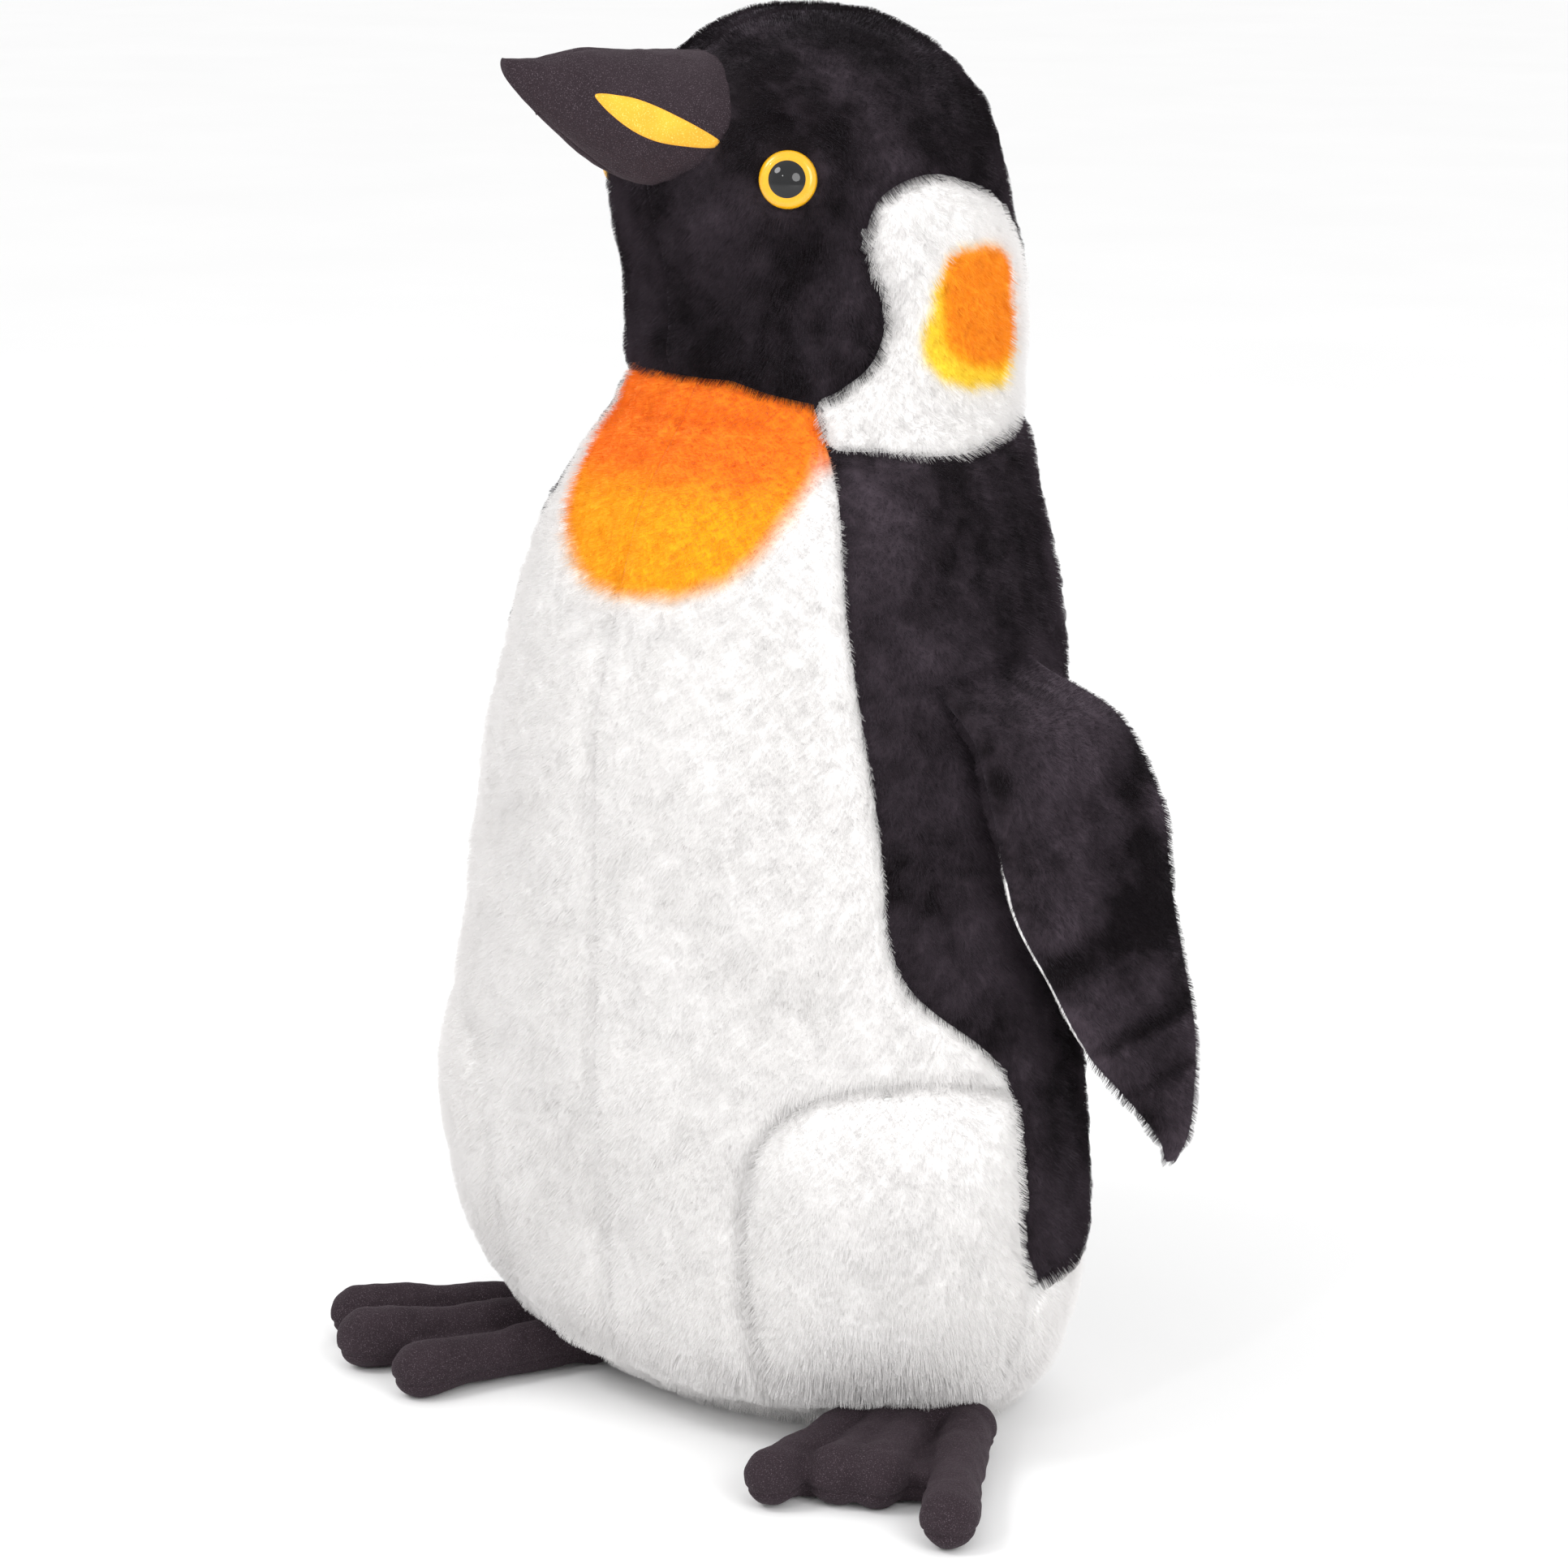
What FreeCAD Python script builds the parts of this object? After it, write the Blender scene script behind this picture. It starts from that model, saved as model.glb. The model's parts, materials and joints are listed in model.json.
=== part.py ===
import FreeCAD, Part
import math
import os

# Plush penguin, standing upright, millimetres.
# +Z is up, the penguin faces -Y, and its own left side is +X.
# The origin is on the floor, under the middle of the body, on the flat base.

V = FreeCAD.Vector
UP = V(0, 0, 1)

# Fabric and fit
PLUSH = 6.0            # plush panel with its pile, pressed flat
SUEDE = 2.0            # short suede of the beak and feet
GAP = 0.5              # free play between a stuffing and the fabric over it
SEAM_GAP = 0.2         # between two pieces of fabric that meet
LINING_PAST = 10.0     # how far a lining shape runs past the neck, to cut cleanly
LOFT_DEGREE = 3
FAR = 260.0            # reach of a cutting solid, past every part of the toy
THIN_END = 0.4         # a hollow keeps at least this share of a section's half size
THIN_FILL = 0.25       # and the stuffing in it this share

# Body: (height, half width, front y, back y) of each level cross-section
NECK_Z = 440.0
NECK_Y = 30.0
NECK_R = 87.5
JOINT_GAP = 1.0
BODY = [
    (0, 84, -22, 86),
    (12, 112, -58, 96),
    (26, 130, -84, 101),
    (40, 142, -99, 104),
    (90, 159, -109, 105),
    (150, 160, -112, 102),
    (220, 153, -112, 104),
    (290, 140, -111, 112),
    (350, 127, -103, 115),
    (400, 111, -85, 113),
    (NECK_Z, NECK_R, NECK_Y - NECK_R, NECK_Y + NECK_R),
]
BODY_MID_Z = 220.0

# Seam between the white front and the black back, seen from the side: (y, z)
FLANK_SEAM = [
    (-28, 456), (-43, 415), (-56, 370), (-60, 320), (-61, 260), (-56, 212),
    (-37, 193), (-20, 175), (-14, 140), (-11, 100), (2, 76),
]
# Upper edge of the white underside, seen from the side: (y, z)
UNDERSIDE_EDGE = [(-FAR, 30), (-14, 30), (8, 76), (FAR, 76)]

# Thigh: a padded white panel low on each flank, its outline seen from the front: (x, z)
THIGH_SEAM = [
    (72, 10), (74, 60), (75, 122), (81, 146), (92, 158), (107, 167),
    (126, 173), (148, 175), (190, 168),
]
THIGH_LOW = (190, 10)  # the corner that closes the outline, clear of the body
THIGH_BACK_Y = 10.0    # the outline is pushed back to here
THIGH_RISE = 6.0       # how far the thigh stands proud of the body
THIGH_DEPTH = 24.0     # depth of its cushion inside the body

# Pellet bag that keeps the toy upright
BALLAST_R = 50.0
BALLAST_H = 30.0
BALLAST_ROUND = 12.0
BALLAST_AT = V(0, 26, 12)

# Head: sections measured from the neck axis, and the quarter it looks to
HEAD_TURN = -13.0
HEAD_MID_Z = 500.0
HEAD = [
    (NECK_Z + JOINT_GAP, NECK_R, -NECK_R, NECK_R),
    (465, 86.5, -82, 85),
    (490, 88, -83.5, 86),
    (515, 89, -88.5, 82),
    (540, 86, -92.5, 76),
    (560, 79, -89.5, 72),
    (578, 67, -77.5, 62.5),
    (592, 51, -61.5, 47.5),
    (603, 33, -40.5, 29.5),
    (609, 14, -18, 10),
]
CHEEK_X = 20.0         # the patch is cut out of the plush beyond this
# White cheek patch, seen from the side of the head: (y, z)
CHEEK_SEAM = [
    (-68, 425), (-50, 447), (-42, 452), (-31, 460), (-23, 474), (-23, 490),
    (-31, 506), (-31, 522), (-20, 536), (-5, 540.5), (14, 540), (31, 534),
    (46, 528), (60, 519), (70, 503), (74, 475), (70, 425),
]

# Beak: upright sections (y, middle height, half height, half width)
BEAK = [
    (-63, 560, 29, 46),
    (-87, 561.5, 28.5, 41),
    (-107, 566, 25, 30),
    (-127, 571, 18.5, 19),
    (-145, 580, 9.5, 9),
    (-156, 586, 3, 3),
]
BEAK_MID_Y = -85.0
BEAK_HALF = 60.0
# Bright stripe let into each side of the beak: (y, z)
STRIPE_SEAM = [
    (-127, 574), (-117, 574), (-107, 571), (-93, 563.5), (-76, 552),
    (-79, 549), (-92, 551.5), (-105, 555), (-117, 562),
]
STRIPE_RISE = 1.2
STRIPE_X = 3.0         # the stripe is cut out of the beak beyond this

# Safety eye, 24 mm
EYE_AT = V(67, -62, 540)
EYE_AZIMUTH = 50.0
EYE_TILT = 8.0
EYE_R = 12.0
EYE_H = 4.0
EYE_ROUND = 3.2
PUPIL_R = 7.7
PUPIL_SEAT = 2.0       # the dome's seat in the cup, from the face of the head
PUPIL_H = 3.0
EYE_SEAT = 1.0
SHANK_R = 2.5
SHANK_L = 17.0
WASHER_R = 9.0
WASHER_H = 1.6
WASHER_UP = 6.0        # from the shank's end
HOLE_PLAY = 0.1

# Flipper: (distance from root, middle, half width, half thickness)
FLIPPER = [
    (0, -10, 30, 6),
    (25, 6, 41, 9.5),
    (65, 14, 46.5, 10.5),
    (100, 13, 45, 10.5),
    (130, 18.5, 39, 10),
    (160, 24.5, 32.5, 9),
    (185, 31, 20, 7),
    (203, 33.5, 8.5, 4.5),
    (214, 29, 2.5, 2),
]
FLIPPER_SKIN = 3.0
FLIPPER_ROOT = {"left": V(139, 5, 342), "right": V(139, 24, 342)}
FLIPPER_SWEEP = {"left": 0.0, "right": 8.0}  # how far its tip is set back
FLIPPER_FACES = 82.0   # azimuth that its outer face looks to
FLIPPER_SPLAY = 17.0   # how far it hangs out from the upright

# Foot: toes as (x at the root, x at the tip, reach, root radius, tip radius).
# The left foot's middle toe is short and broad, made of two bars side by side.
TOES = {
    "left": [
        (-22.5, -52, 66, 12.5, 11.5),
        (-6, -25, 60, 12.5, 13),
        (2, -8, 62, 12.5, 13),
        (23, 25, 103, 12.5, 11.5),
    ],
    "right": [
        (-22.5, -55, 81, 12.5, 11.5),
        (0, -14, 101, 12.5, 14),
        (23, 25, 103, 12.5, 11.5),
    ],
}
WEB_REACH = {"left": 62.0, "right": 84.0}  # how far the webs run out
WEB_SHARE = 0.95       # but no further than this share of a toe
TOE_Z = 12.5
ANKLE_R = 13.0
ANKLE_HALF = 24.0
WEB_LOW = 4.5
WEB_HIGH = 11.5
SOLE_Z = 8.0
FOOT_YAW = 37.0
STANCE_SHIFT = 13.0    # the feet are set this far to the toy's left
ANKLE_OUT = 100.0
ANKLE_Y = -33.5
# Hollow under the body that the foot swings in: (forward, height)
FOOT_HOLLOW = [(-16, -5), (-16, 28), (0, 28.5), (72, 37), (72, -5)]
HOLLOW_IN = -52.0
HOLLOW_OUT = 42.0


# ---------------------------------------------------------------- helpers

def closed_curve(points):
    """A smooth closed wire through the points."""
    curve = Part.BSplineCurve()
    curve.interpolate(Points=points, PeriodicFlag=True)
    return Part.Wire([curve.toShape()])


def oval(centre, across, along, count=16):
    """A closed oval wire; across and along are its two half axes."""
    step = 2 * math.pi / count
    points = []
    for i in range(count):
        points.append(centre + across * math.sin(i * step) - along * math.cos(i * step))
    return closed_curve(points)


def level_oval(z, half_width, front, back):
    """A level cross-section of the body or the head."""
    centre = V(0, (front + back) / 2.0, z)
    return oval(centre, V(half_width, 0, 0), V(0, (back - front) / 2.0, 0))


def shrunk(sections, inset, mid_z, end_z):
    """The same sections moved in by inset, towards the middle height too."""
    factor = 1 - inset / abs(end_z - mid_z)
    result = []
    for z, half_width, front, back in sections:
        new_z = mid_z + (z - mid_z) * factor
        result.append((new_z, half_width - inset, front + inset, back - inset))
    return result


def smooth_loft(wires):
    """A closed solid through the wires."""
    return Part.makeLoft(wires, True, False, False, LOFT_DEGREE)


def level_loft(sections):
    return smooth_loft([level_oval(*section) for section in sections])


def body_shape(inset):
    """The body's outline moved in by inset, run on past the neck when it is a lining."""
    sections = shrunk(BODY, inset, BODY_MID_Z, 0) if inset else list(BODY)
    if inset:
        sections.append((NECK_Z + LINING_PAST,) + sections[-1][1:])
    return level_loft(sections)


def head_shape(inset):
    """The head's outline moved in by inset, run on past the neck when it is a lining."""
    sections = shrunk(HEAD, inset, HEAD_MID_Z, HEAD[-1][0]) if inset else list(HEAD)
    if inset:
        sections.insert(0, (NECK_Z - LINING_PAST,) + sections[0][1:])
    return level_loft(sections)


def outline_face(points, smooth, corners):
    """A face bounded by one smooth seam and the straight runs through its corners."""
    edges = []
    if smooth:
        seam = Part.BSplineCurve()
        seam.interpolate(Points=points)
        edges.append(seam.toShape())
    else:
        corners = points + corners
    run = ([points[-1]] if smooth else []) + corners + [points[0]]
    for start, end in zip(run, run[1:]):
        edges.append(Part.LineSegment(start, end).toShape())
    return Part.Face(Part.Wire(edges))


def side_prism(points, corners, x_from, x_to, smooth=True):
    """A (y, z) outline pushed along X."""
    seam = [V(x_from, y, z) for y, z in points]
    ends = [V(x_from, y, z) for y, z in corners]
    return outline_face(seam, smooth, ends).extrude(V(x_to - x_from, 0, 0))


def closed_side_prism(points, x_from, x_to):
    """A closed smooth (y, z) outline pushed along X."""
    face = Part.Face(closed_curve([V(x_from, y, z) for y, z in points]))
    return face.extrude(V(x_to - x_from, 0, 0))


def front_prism(points, corners, y_from, y_to):
    """An (x, z) outline pushed along Y."""
    seam = [V(x, y_from, z) for x, z in points]
    ends = [V(x, y_from, z) for x, z in corners]
    return outline_face(seam, True, ends).extrude(V(0, y_to - y_from, 0))


def block(low, high):
    size = high - low
    return Part.makeBox(size.x, size.y, size.z, low)


def half(side):
    """Everything on one side of the middle plane; side is 1 for left, -1 for right."""
    if side > 0:
        return block(V(0, -FAR, -FAR), V(FAR, FAR, 3 * FAR))
    return block(V(-FAR, -FAR, -FAR), V(0, FAR, 3 * FAR))


def mirrored(shape):
    return shape.mirror(V(0, 0, 0), V(1, 0, 0))


def one_solid(shape):
    """The largest solid of a cut, without the wrapping compound."""
    return max(shape.Solids, key=lambda solid: solid.Volume)


def round_bar(start, end, start_r, end_r, both_round):
    """A slightly tapered bar with a round end, or two."""
    axis = end - start
    length = axis.Length
    middle = math.sqrt(0.5)
    corners = [V(0, 0, 0), V(0, start_r, 0)]
    edges = [Part.LineSegment(*corners).toShape()]
    if both_round:
        corners[0] = V(-start_r, 0, 0)
        elbow = V(-start_r * middle, start_r * middle, 0)
        edges = [Part.Arc(corners[0], elbow, corners[1]).toShape()]
    tip_top = V(length, end_r, 0)
    tip = V(length + end_r, 0, 0)
    tip_elbow = V(length + end_r * middle, end_r * middle, 0)
    edges.append(Part.LineSegment(corners[1], tip_top).toShape())
    edges.append(Part.Arc(tip_top, tip_elbow, tip).toShape())
    edges.append(Part.LineSegment(tip, corners[0]).toShape())
    bar = Part.Face(Part.Wire(edges)).revolve(V(0, 0, 0), V(1, 0, 0), 360)
    bar.Placement = FreeCAD.Placement(start, FreeCAD.Rotation(V(1, 0, 0), axis))
    return bar


SIDES = {"left": 1, "right": -1}
parts = {}


# ---------------------------------------------------------------- feet

def foot_solid(name, inset, with_web):
    """Toes that fan out from a round ankle roll, and point to -Y."""
    toes = TOES[name]
    z = TOE_Z
    roll_end = V(ANKLE_HALF, 0, z)
    pieces = []
    for root_x, tip_x, reach, root_r, tip_r in toes:
        tip_z = z + max(0, tip_r - TOE_Z)
        start = V(root_x, 0, z)
        end = V(tip_x, -reach, tip_z)
        pieces.append(round_bar(start, end, root_r - inset, tip_r - inset, False))
    if with_web:
        corners = [V(toes[0][0], 0, WEB_LOW)]
        for root_x, tip_x, reach, _, _ in toes:
            share = min(WEB_SHARE, WEB_REACH[name] / reach)
            corners.append(V(root_x + (tip_x - root_x) * share, -reach * share, WEB_LOW))
        corners.append(V(toes[-1][0], 0, WEB_LOW))
        web = Part.Face(Part.makePolygon(corners + corners[:1]))
        pieces.append(web.extrude(V(0, 0, WEB_HIGH - WEB_LOW)))
    roll = round_bar(V(-ANKLE_HALF, 0, z), roll_end, ANKLE_R - inset, ANKLE_R - inset, True)
    return roll.multiFuse(pieces)


def place_foot(shape, side):
    """Turn the foot outwards and stand it at its ankle."""
    shape = shape.copy()
    shape.rotate(V(0, 0, 0), UP, FOOT_YAW)
    if side < 0:
        shape = mirrored(shape)
    shape.translate(V(side * ANKLE_OUT + STANCE_SHIFT, ANKLE_Y, 0))
    return shape


def make_feet():
    above_floor = block(V(-FAR, -FAR, 0), V(FAR, FAR, FAR))
    above_sole = block(V(-FAR, -FAR, SOLE_Z), V(FAR, FAR, FAR))
    below_sole = block(V(-FAR, -FAR, -FAR), V(FAR, FAR, SOLE_Z))
    for name, side in SIDES.items():
        fabric = foot_solid(name, 0, True).common(above_floor).cut(foot_solid(name, SUEDE, False))
        stuffing = foot_solid(name, SUEDE + GAP / 2, False)
        parts["foot_upper_" + name] = place_foot(fabric.common(above_sole), side)
        parts["foot_sole_" + name] = place_foot(fabric.common(below_sole), side)
        parts["foot_stuffing_" + name] = place_foot(stuffing, side)


def foot_hollow(side):
    """Room in the body's underside for the foot to swing."""
    points = [(-forward, z) for forward, z in FOOT_HOLLOW]
    hollow = side_prism(points, [], HOLLOW_IN, HOLLOW_OUT, smooth=False)
    return place_foot(hollow, side)


# ---------------------------------------------------------------- body

def make_body():
    outer = body_shape(0)
    lining = body_shape(PLUSH)
    below_neck = block(V(-FAR, -FAR, -FAR), V(FAR, FAR, NECK_Z))
    hollows = [foot_hollow(side) for side in SIDES.values()]

    back_corners = [(FAR, FLANK_SEAM[-1][1]), (FAR, FLANK_SEAM[0][1])]
    back_zone = side_prism(FLANK_SEAM, back_corners, -FAR, FAR)
    low_corners = [(FAR, -FAR), (-FAR, -FAR)]
    low_zone = side_prism(UNDERSIDE_EDGE, low_corners, -FAR, FAR, smooth=False)
    thigh_left = front_prism(THIGH_SEAM, [THIGH_LOW], -FAR, THIGH_BACK_Y)
    thigh_zones = {"left": thigh_left, "right": mirrored(thigh_left)}

    skin = outer.cut([lining] + hollows)
    parts["bottom_panel"] = one_solid(skin.common(low_zone))
    skin = skin.cut(low_zone)
    back = skin.common(back_zone)
    front = skin.cut([back_zone] + list(thigh_zones.values()))
    for name, side in SIDES.items():
        parts["belly_panel_" + name] = one_solid(front.common(half(side)))
        parts["back_panel_" + name] = one_solid(back.common(half(side)))

    thigh_fabric = body_shape(-THIGH_RISE).cut([outer, back_zone, low_zone] + hollows)
    thigh_fill = outer.cut([body_shape(THIGH_DEPTH), back_zone, low_zone] + hollows)
    core = body_shape(PLUSH + GAP).common(below_neck).cut(hollows)
    thigh_room = outer.cut([body_shape(THIGH_DEPTH + GAP), back_zone, low_zone])
    for name, side in SIDES.items():
        zone = thigh_zones[name]
        parts["thigh_panel_" + name] = one_solid(thigh_fabric.common(zone))
        fill_zone = zone.copy()
        fill_zone.translate(V(side * GAP, 0, -GAP))
        parts["thigh_stuffing_" + name] = one_solid(thigh_fill.common(fill_zone))
        core = core.cut(thigh_room.common(zone))

    bag = Part.makeCylinder(BALLAST_R, BALLAST_H, BALLAST_AT)
    bag = bag.makeFillet(BALLAST_ROUND, [bag.Edges[0], bag.Edges[2]])
    pocket = Part.makeCylinder(BALLAST_R + GAP, BALLAST_H + 2 * GAP, BALLAST_AT - V(0, 0, GAP))
    parts["ballast_bag"] = bag
    parts["torso_stuffing"] = one_solid(core.cut(pocket))


# ---------------------------------------------------------------- flippers

def flipper_solid(inset, least=1.0):
    """Flat paddle hanging down -Z from its root; +X is its rear edge.

    least is the smallest share of a section's half size that the inset leaves.
    """
    wires = []
    middle_down = FLIPPER[-1][0] / 2.0
    for down, middle, half_width, half_thick in FLIPPER:
        z = -(middle_down + (down - middle_down) * (1 - inset / middle_down))
        across = V(max(half_width - inset, half_width * least), 0, 0)
        through = V(0, max(half_thick - inset, half_thick * least), 0)
        wires.append(oval(V(middle, 0, z), across, through))
    return smooth_loft(wires)


def place_flipper(shape, name):
    shape = shape.copy()
    shape.rotate(V(0, 0, 0), V(0, 1, 0), -FLIPPER_SWEEP[name])
    shape.rotate(V(0, 0, 0), V(1, 0, 0), -FLIPPER_SPLAY)
    shape.rotate(V(0, 0, 0), UP, FLIPPER_FACES)
    shape.translate(FLIPPER_ROOT[name])
    return shape if SIDES[name] > 0 else mirrored(shape)


def make_flippers():
    fabric = flipper_solid(0).cut(flipper_solid(FLIPPER_SKIN, THIN_END))
    stuffing = flipper_solid(FLIPPER_SKIN + GAP, THIN_FILL)
    inside = block(V(-FAR, 0, -FAR), V(FAR, FAR, FAR))
    outside = block(V(-FAR, -FAR, -FAR), V(FAR, 0, FAR))
    for name in SIDES:
        parts["flipper_outer_" + name] = place_flipper(fabric.common(outside), name)
        parts["flipper_lining_" + name] = place_flipper(fabric.common(inside), name)
        parts["flipper_stuffing_" + name] = place_flipper(stuffing, name)


# ---------------------------------------------------------------- head

def beak_solid(inset):
    """Rounded cone from the face to the tip."""
    wires = []
    for y, mid_z, half_height, half_width in BEAK:
        new_y = BEAK_MID_Y + (y - BEAK_MID_Y) * (1 - inset / BEAK_HALF)
        across = V(max(half_width - inset, half_width * THIN_END), 0, 0)
        along = V(0, 0, max(half_height - inset, half_height * THIN_END))
        wires.append(oval(V(0, new_y, mid_z), across, along))
    return smooth_loft(wires)


def place_eye(shape, side):
    """Stand an eye part, made looking up +Z, on the side of the head."""
    shape = shape.copy()
    shape.rotate(V(0, 0, 0), V(1, 0, 0), 90 - EYE_TILT)
    shape.rotate(V(0, 0, 0), UP, EYE_AZIMUTH)
    shape.translate(EYE_AT)
    return shape if side > 0 else mirrored(shape)


def eye_parts():
    """Yellow cup with its shank, dark dome and lock washer, looking up +Z."""
    cup = Part.makeCylinder(EYE_R, EYE_H + EYE_SEAT, V(0, 0, -EYE_SEAT))
    cup = cup.makeFillet(EYE_ROUND, [cup.Edges[0]])
    seat = Part.makeCylinder(PUPIL_R, EYE_H, V(0, 0, PUPIL_SEAT))
    shank = Part.makeCylinder(SHANK_R, SHANK_L, V(0, 0, -EYE_SEAT - SHANK_L))
    cup = cup.cut(seat).fuse(shank)
    dome_r = (PUPIL_R ** 2 + PUPIL_H ** 2) / (2 * PUPIL_H)
    ball = Part.makeSphere(dome_r, V(0, 0, EYE_H + PUPIL_H - dome_r))
    pupil = Part.makeCylinder(PUPIL_R, EYE_H + PUPIL_H, V(0, 0, PUPIL_SEAT)).common(ball)
    washer_z = WASHER_UP - EYE_SEAT - SHANK_L
    washer = Part.makeCylinder(WASHER_R, WASHER_H, V(0, 0, washer_z))
    washer = washer.cut(Part.makeCylinder(SHANK_R + HOLE_PLAY, SHANK_L, V(0, 0, -SHANK_L)))
    return {"eye_cup": cup, "eye_pupil": pupil, "eye_washer": washer}


def eye_rooms():
    """The seat and shank hole in the plush, and the room in the stuffing."""
    seat = Part.makeCylinder(EYE_R + SEAM_GAP, SHANK_L, V(0, 0, -EYE_SEAT - SEAM_GAP))
    hole = Part.makeCylinder(SHANK_R + HOLE_PLAY, 2 * SHANK_L, V(0, 0, -SHANK_L))
    depth = SHANK_L + 2 * EYE_SEAT
    room = Part.makeCylinder(WASHER_R + GAP, depth, V(0, 0, -depth))
    return seat.fuse(hole), room


def place_head(shape):
    shape = shape.copy()
    shape.rotate(V(0, 0, 0), UP, HEAD_TURN)
    shape.translate(V(0, NECK_Y, 0))
    return shape


def make_head():
    head = {}
    seat, room = eye_rooms()
    seats = [place_eye(seat, side) for side in SIDES.values()]
    rooms = [place_eye(room, side) for side in SIDES.values()]
    above_neck = block(V(-FAR, -FAR, NECK_Z + JOINT_GAP), V(FAR, FAR, 3 * FAR))
    outer = head_shape(0)
    skin = outer.cut([head_shape(PLUSH)] + seats)
    cheek_left = closed_side_prism(CHEEK_SEAM, CHEEK_X, FAR)
    cheek_zones = {"left": cheek_left, "right": mirrored(cheek_left)}
    dark = skin.cut(list(cheek_zones.values()))
    for name, side in SIDES.items():
        head["head_panel_" + name] = one_solid(dark.common(half(side)))
        head["cheek_patch_" + name] = one_solid(skin.common(cheek_zones[name]))
    stuffing = head_shape(PLUSH + GAP).common(above_neck)
    head["head_stuffing"] = one_solid(stuffing.cut(rooms))

    face = head_shape(-SEAM_GAP)
    beak = beak_solid(0).cut([face] + seats)
    beak_fabric = beak.cut(beak_solid(SUEDE))
    beak_fill = beak_solid(SUEDE + GAP).cut([face] + seats)
    raised = beak_solid(-STRIPE_RISE).cut([beak_solid(-SEAM_GAP / 2), face] + seats)
    stripe_left = raised.common(closed_side_prism(STRIPE_SEAM, STRIPE_X, FAR))
    for name, side in SIDES.items():
        head["beak_panel_" + name] = one_solid(beak_fabric.common(half(side)))
        stripe = stripe_left if side > 0 else mirrored(stripe_left)
        head["beak_stripe_" + name] = one_solid(stripe)
        for eye_name, eye_shape in eye_parts().items():
            head[eye_name + "_" + name] = place_eye(eye_shape, side)
    head["beak_stuffing"] = one_solid(beak_fill)
    for name, shape in head.items():
        parts[name] = place_head(shape)


def main():
    make_body()
    make_head()
    make_flippers()
    make_feet()
    os.makedirs("parts", exist_ok=True)
    for name, shape in parts.items():
        solids = len(shape.Solids)
        print(name, "solids", solids, "valid", shape.isValid(), "volume", round(shape.Volume))
        shape.exportStep("parts/" + name + ".step")


main()
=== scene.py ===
import json
import math

import bmesh
import bpy
import numpy as np
from mathutils import Matrix, Vector
from mathutils.bvhtree import BVHTree
from mathutils.geometry import delaunay_2d_cdt
from mathutils.kdtree import KDTree


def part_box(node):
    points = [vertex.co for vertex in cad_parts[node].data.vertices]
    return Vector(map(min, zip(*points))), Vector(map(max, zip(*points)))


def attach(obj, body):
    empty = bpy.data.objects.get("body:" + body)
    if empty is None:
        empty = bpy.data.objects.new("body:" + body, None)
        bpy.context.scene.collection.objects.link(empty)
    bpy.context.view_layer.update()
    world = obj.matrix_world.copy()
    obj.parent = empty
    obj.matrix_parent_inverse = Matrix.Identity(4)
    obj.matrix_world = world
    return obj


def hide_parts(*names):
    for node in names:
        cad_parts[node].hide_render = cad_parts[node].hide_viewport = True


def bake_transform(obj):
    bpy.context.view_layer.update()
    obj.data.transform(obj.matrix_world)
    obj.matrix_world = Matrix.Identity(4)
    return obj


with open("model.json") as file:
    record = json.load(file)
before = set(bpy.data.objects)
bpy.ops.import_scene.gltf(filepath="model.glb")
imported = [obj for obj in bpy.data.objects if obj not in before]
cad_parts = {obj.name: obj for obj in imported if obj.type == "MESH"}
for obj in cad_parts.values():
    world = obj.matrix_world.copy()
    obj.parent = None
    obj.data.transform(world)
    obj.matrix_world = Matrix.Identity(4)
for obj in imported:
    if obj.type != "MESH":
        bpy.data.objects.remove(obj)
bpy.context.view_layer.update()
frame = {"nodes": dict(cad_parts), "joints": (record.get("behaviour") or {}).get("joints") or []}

# Plush penguin. Metres and radians; the toy faces -Y and its own left side is +X.
# A place on the body or the head is (angle round from the front towards +X, height).

# ---------------------------------------------------------------- sizes

SIDES = {"left": 1, "right": -1}

GRID = 0.0026             # side of a plush mesh cell
BACKING = 0.0022          # thickness of the plush backing
GROOVE = 0.0032           # how deep a seam pulls the fabric in
GROOVE_WIDTH = 0.0050
FAINT = 0.30              # a flat seam's groove, as a share of GROOVE
TUCK = 0.0045             # how far the fabric goes in under a patch laid over it

PILE = 0.0085             # longest pile
PILE_USUAL = 0.50         # the usual pile, as a share of it
SHORT_PILE = 0.35         # the pile beside the eyes and the beak, as a share of the usual
PILE_LEAN = -0.55         # how far the pile lies downwards, as a share of its rise
PILE_STAND = 0.0031       # the backing lies this far inside the form, under its pile
FRINGE = 0.22             # extra pile that hangs over the feet
PILE_DENSITY = 1.5e6      # fibres to a square metre
FOLLOWERS = 24            # fibres that follow each guide fibre
FIBRE = 0.00016           # thickness of a fibre at its root

SUEDE = 0.0012            # thickness of the suede
FELT = 0.0010             # and of the stripes' felt
STRIPE_UP = 0.0006        # how far a stripe stands out of the suede
STRIPE_TUCK = 0.0012      # and how far its rim turns in

CROWN_RISE = 0.0012       # the head panels stop this far below the crown,
CROWN_RINGS = 10          # and this many rings close it
BASE_SHARE = 0.42         # share of the underside's rows that lie on the floor
NORMAL_FROM = 0.006       # the trunk's normals are taken no lower than this

SEWN = 0.004              # a thigh pad's fabric is held this near its seam
PAD_PRESSURE = 150.0
PAD_FRAMES = 20
PAD_REACH = 0.0030        # the pad may fill out by this much
NECK_SLACK = 0.09         # the fillings are this share slimmer round the neck

# Distances from the middle of an eye over which the fabric changes
EYE_BARE = (0.0128, 0.0138)  # the pile begins,
EYE_SHORT = (0.013, 0.024)   # grows to its usual length,
EYE_RISE = (0.013, 0.028)    # and its backing goes in to make room for it
EYE_SINK = (0.008, 0.019)    # the eye pulls the fabric in,
EYE_DEPTH = 0.0016           # this deep

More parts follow.
